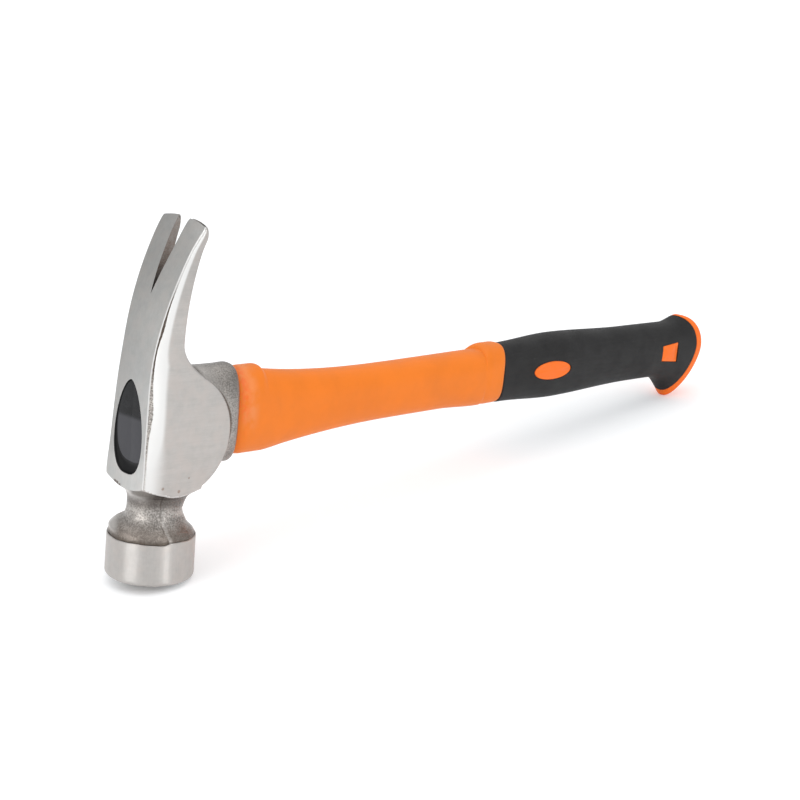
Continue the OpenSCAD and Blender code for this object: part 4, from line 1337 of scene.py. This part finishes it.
class HAMMER_OT_grip(bpy.types.Operator):
    """Builds the rubber sleeve and cuts its windows"""

    bl_idname = "hammer.build_grip"
    bl_label = "Grip sleeve"

    def execute(self, context):
        s = measures(context.scene)
        rubber = (grip_rubber(context.scene.hammer_finishes),)
        sleeve = skin("rubber_sleeve", sleeve_rings(s), rubber, loop=True)
        for outline in (oval_outline(s, s.bond_gap), key_outline(s, s.bond_gap)):
            for side in (-1, 1):
                window = window_rings(s, outline, s.palm_w, side, 0.0)
                carve(sleeve, "DIFFERENCE", skin("window", window, rubber))
        finish_piece(sleeve, "grip_sleeve", 40)
        return {"FINISHED"}


class HAMMER_OT_core(bpy.types.Operator):
    """Gives the hidden rod its finish"""

    bl_idname = "hammer.finish_core"
    bl_label = "Fibreglass core"

    def execute(self, context):
        rod = frame["nodes"]["fibreglass_core"]
        rod.data.materials.clear()
        rod.data.materials.append(raw_rod(context.scene.hammer_finishes))
        return {"FINISHED"}


class HAMMER_OT_stage(bpy.types.Operator):
    """Lays the pale floor and sets the lights and the camera"""

    bl_idname = "hammer.set_stage"
    bl_label = "Stage"

    def execute(self, context):
        scene = context.scene
        build_floor(scene)
        build_world(scene)
        lamp(scene, "overhead_softbox", (0.0, 0.05, 1.15), (0, 0, 0), 1.5, 1.2, 4.0)
        lamp(scene, "left_softbox", (-1.16, -0.06, 0.42), (-0.17, 0, 0.06), 0.6, 0.8, 3.3)
        lamp(scene, "right_softbox", (-0.115, -0.994, 0.42), (-0.15, 0, 0.06), 0.16, 0.8, 2.2)
        build_camera(scene)
        scene.view_settings.view_transform = "Standard"
        return {"FINISHED"}


# Stage

FLOOR_SIZE = 30.0  # half the floor's width in metres
CONTACT = (-0.172, -0.005, 0.0)  # where the bell touches the floor, in metres


def build_floor(scene):
    """A wide flat floor of two by two quads, pale, that keeps the shadow and shows white to the camera and to
    gloss, with a painted contact shadow where the bell touches it, where that white glow is dimmed."""
    side = np.linspace(-FLOOR_SIZE, FLOOR_SIZE, 3)
    gx, gy = np.meshgrid(side, side)
    points = np.stack([gx, gy, 0 * gx], -1).reshape(-1, 3)
    quads = [[0, 1, 4, 3], [1, 2, 5, 4], [3, 4, 7, 6], [4, 5, 8, 7]]
    mesh = bpy.data.meshes.new("floor")
    mesh.from_pydata(points.tolist(), [], quads)
    floor = bpy.data.objects.new("floor", mesh)
    scene.collection.objects.link(floor)
    material = bpy.data.materials.new("pale_floor")
    material.use_nodes = True
    sheet = Sheet(material.node_tree)
    sheet.tree.nodes.clear()
    rays = sheet.node("ShaderNodeLightPath").outputs
    camera, gloss, through = (
        Value(sheet, rays[key]) for key in ("Is Camera Ray", "Is Glossy Ray", "Is Transmission Ray"))
    place = sheet.out("ShaderNodeTexCoord", key="Object")
    # Painted shadow: the glow is dimmed close to where the bell touches the floor.
    seen = camera.larger(gloss).larger(through) * place.away(CONTACT).step(0.004, 0.016, 0.2, 1)
    lift = seen * place.away((0, 0, 0)).step(0.35, 1.8, 0.215, 0.55)
    paper = sheet.out("ShaderNodeBsdfDiffuse", {"Color": (0.93, 0.93, 0.93)})
    glow = sheet.out("ShaderNodeEmission", {"Color": (0.88, 0.94, 1), "Strength": lift})
    both = sheet.out("ShaderNodeAddShader", {0: paper, 1: glow})
    sheet.node("ShaderNodeOutputMaterial", {"Surface": both})
    mesh.materials.append(material)


def build_world(scene):
    """A studio room: white to the camera, and to the part pale at and below the horizon, grey a little above
    it and paler overhead."""
    world = bpy.data.worlds.new("studio")
    scene.world = world
    world.use_nodes = True
    sheet = Sheet(world.node_tree)
    sheet.tree.nodes.clear()
    direction = sheet.out("ShaderNodeTexCoord", key="Generated")
    height = sheet.outs("ShaderNodeSeparateXYZ", {0: direction})[2]
    level = height.step(-0.01, 0.12, 0.74, 0.66) + height.step(0.15, 0.6, 0, 0.12)
    level = level.larger(sheet.out("ShaderNodeLightPath", key="Is Camera Ray"))
    sky = sheet.out("ShaderNodeBackground", {"Color": (1, 1, 1), "Strength": level})
    sheet.node("ShaderNodeOutputWorld", {"Surface": sky})


def lamp(scene, name, place, target, width, height, power):
    """A soft rectangular lamp that looks at a target and stays out of the picture."""
    light = bpy.data.lights.new(name, "AREA")
    light.shape, light.size, light.size_y, light.energy = "RECTANGLE", width, height, power
    made = bpy.data.objects.new(name, light)
    away = heading(np.subtract(place, target))
    upward = (0, 0, 1) if abs(away[2]) < 0.95 else (0, 1, 0)
    right = heading(np.cross(upward, away))
    turn = np.stack([right, np.cross(away, right), away], 1)
    made.matrix_world = Matrix.Translation(place) @ Matrix(turn.tolist()).to_4x4()
    made.visible_camera = False
    scene.collection.objects.link(made)


def build_camera(scene):
    """The camera at the photograph's angle and distance."""
    data = bpy.data.cameras.new("camera")
    data.lens, data.sensor_width, data.sensor_fit = 72.0, 36.0, "HORIZONTAL"
    data.clip_start, data.clip_end = 0.01, 100.0
    data.dof.use_dof = False
    camera = bpy.data.objects.new("camera", data)
    camera.location = (-0.498862, -0.465813, 0.254247)
    camera.rotation_euler = [math.radians(angle) for angle in (72.1032, -0.28518, -45.0902)]
    scene.collection.objects.link(camera)
    scene.camera = camera


# Panel and registration

class HAMMER_PT_panel(bpy.types.Panel):
    """The hammer's sizes, colours and build steps"""

    bl_idname = "HAMMER_PT_panel"
    bl_label = "Framing hammer"
    bl_space_type = "VIEW_3D"
    bl_region_type = "UI"
    bl_category = "Hammer"

    def draw(self, context):
        for operator in OPERATORS:
            self.layout.operator(operator.bl_idname)
        for name in PROPERTY_GROUPS:
            group = getattr(context.scene, name)
            box = self.layout.box()
            for key in group.__annotations__:
                box.prop(group, key)


PROPERTY_GROUPS = {
    "hammer_head": HammerHeadSizes,
    "hammer_handle": HammerHandleSizes,
    "hammer_grip": HammerGripSizes,
    "hammer_finishes": HammerFinishes,
}
OPERATORS = (
    HAMMER_OT_head, HAMMER_OT_resin, HAMMER_OT_jacket, HAMMER_OT_grip, HAMMER_OT_core, HAMMER_OT_stage)


def register():
    """Registers the classes and hangs the sizes and colours on the scene."""
    for name, group in PROPERTY_GROUPS.items():
        bpy.utils.register_class(group)
        setattr(bpy.types.Scene, name, bpy.props.PointerProperty(type=group))
    for cls in (*OPERATORS, HAMMER_PT_panel):
        bpy.utils.register_class(cls)


def unregister():
    """Takes the classes and the scene's sizes and colours away."""
    for cls in (HAMMER_PT_panel, *reversed(OPERATORS)):
        bpy.utils.unregister_class(cls)
    for name, group in PROPERTY_GROUPS.items():
        delattr(bpy.types.Scene, name)
        bpy.utils.unregister_class(group)


def main():
    """Builds every piece and the stage."""
    register()
    for build in (grain_effect, speck_effect, skin_effect):
        build()
    bpy.ops.hammer.build_head()
    bpy.ops.hammer.build_resin()
    bpy.ops.hammer.build_jacket()
    bpy.ops.hammer.build_grip()
    bpy.ops.hammer.finish_core()
    bpy.ops.hammer.set_stage()


if __name__ == "__main__":
    main()
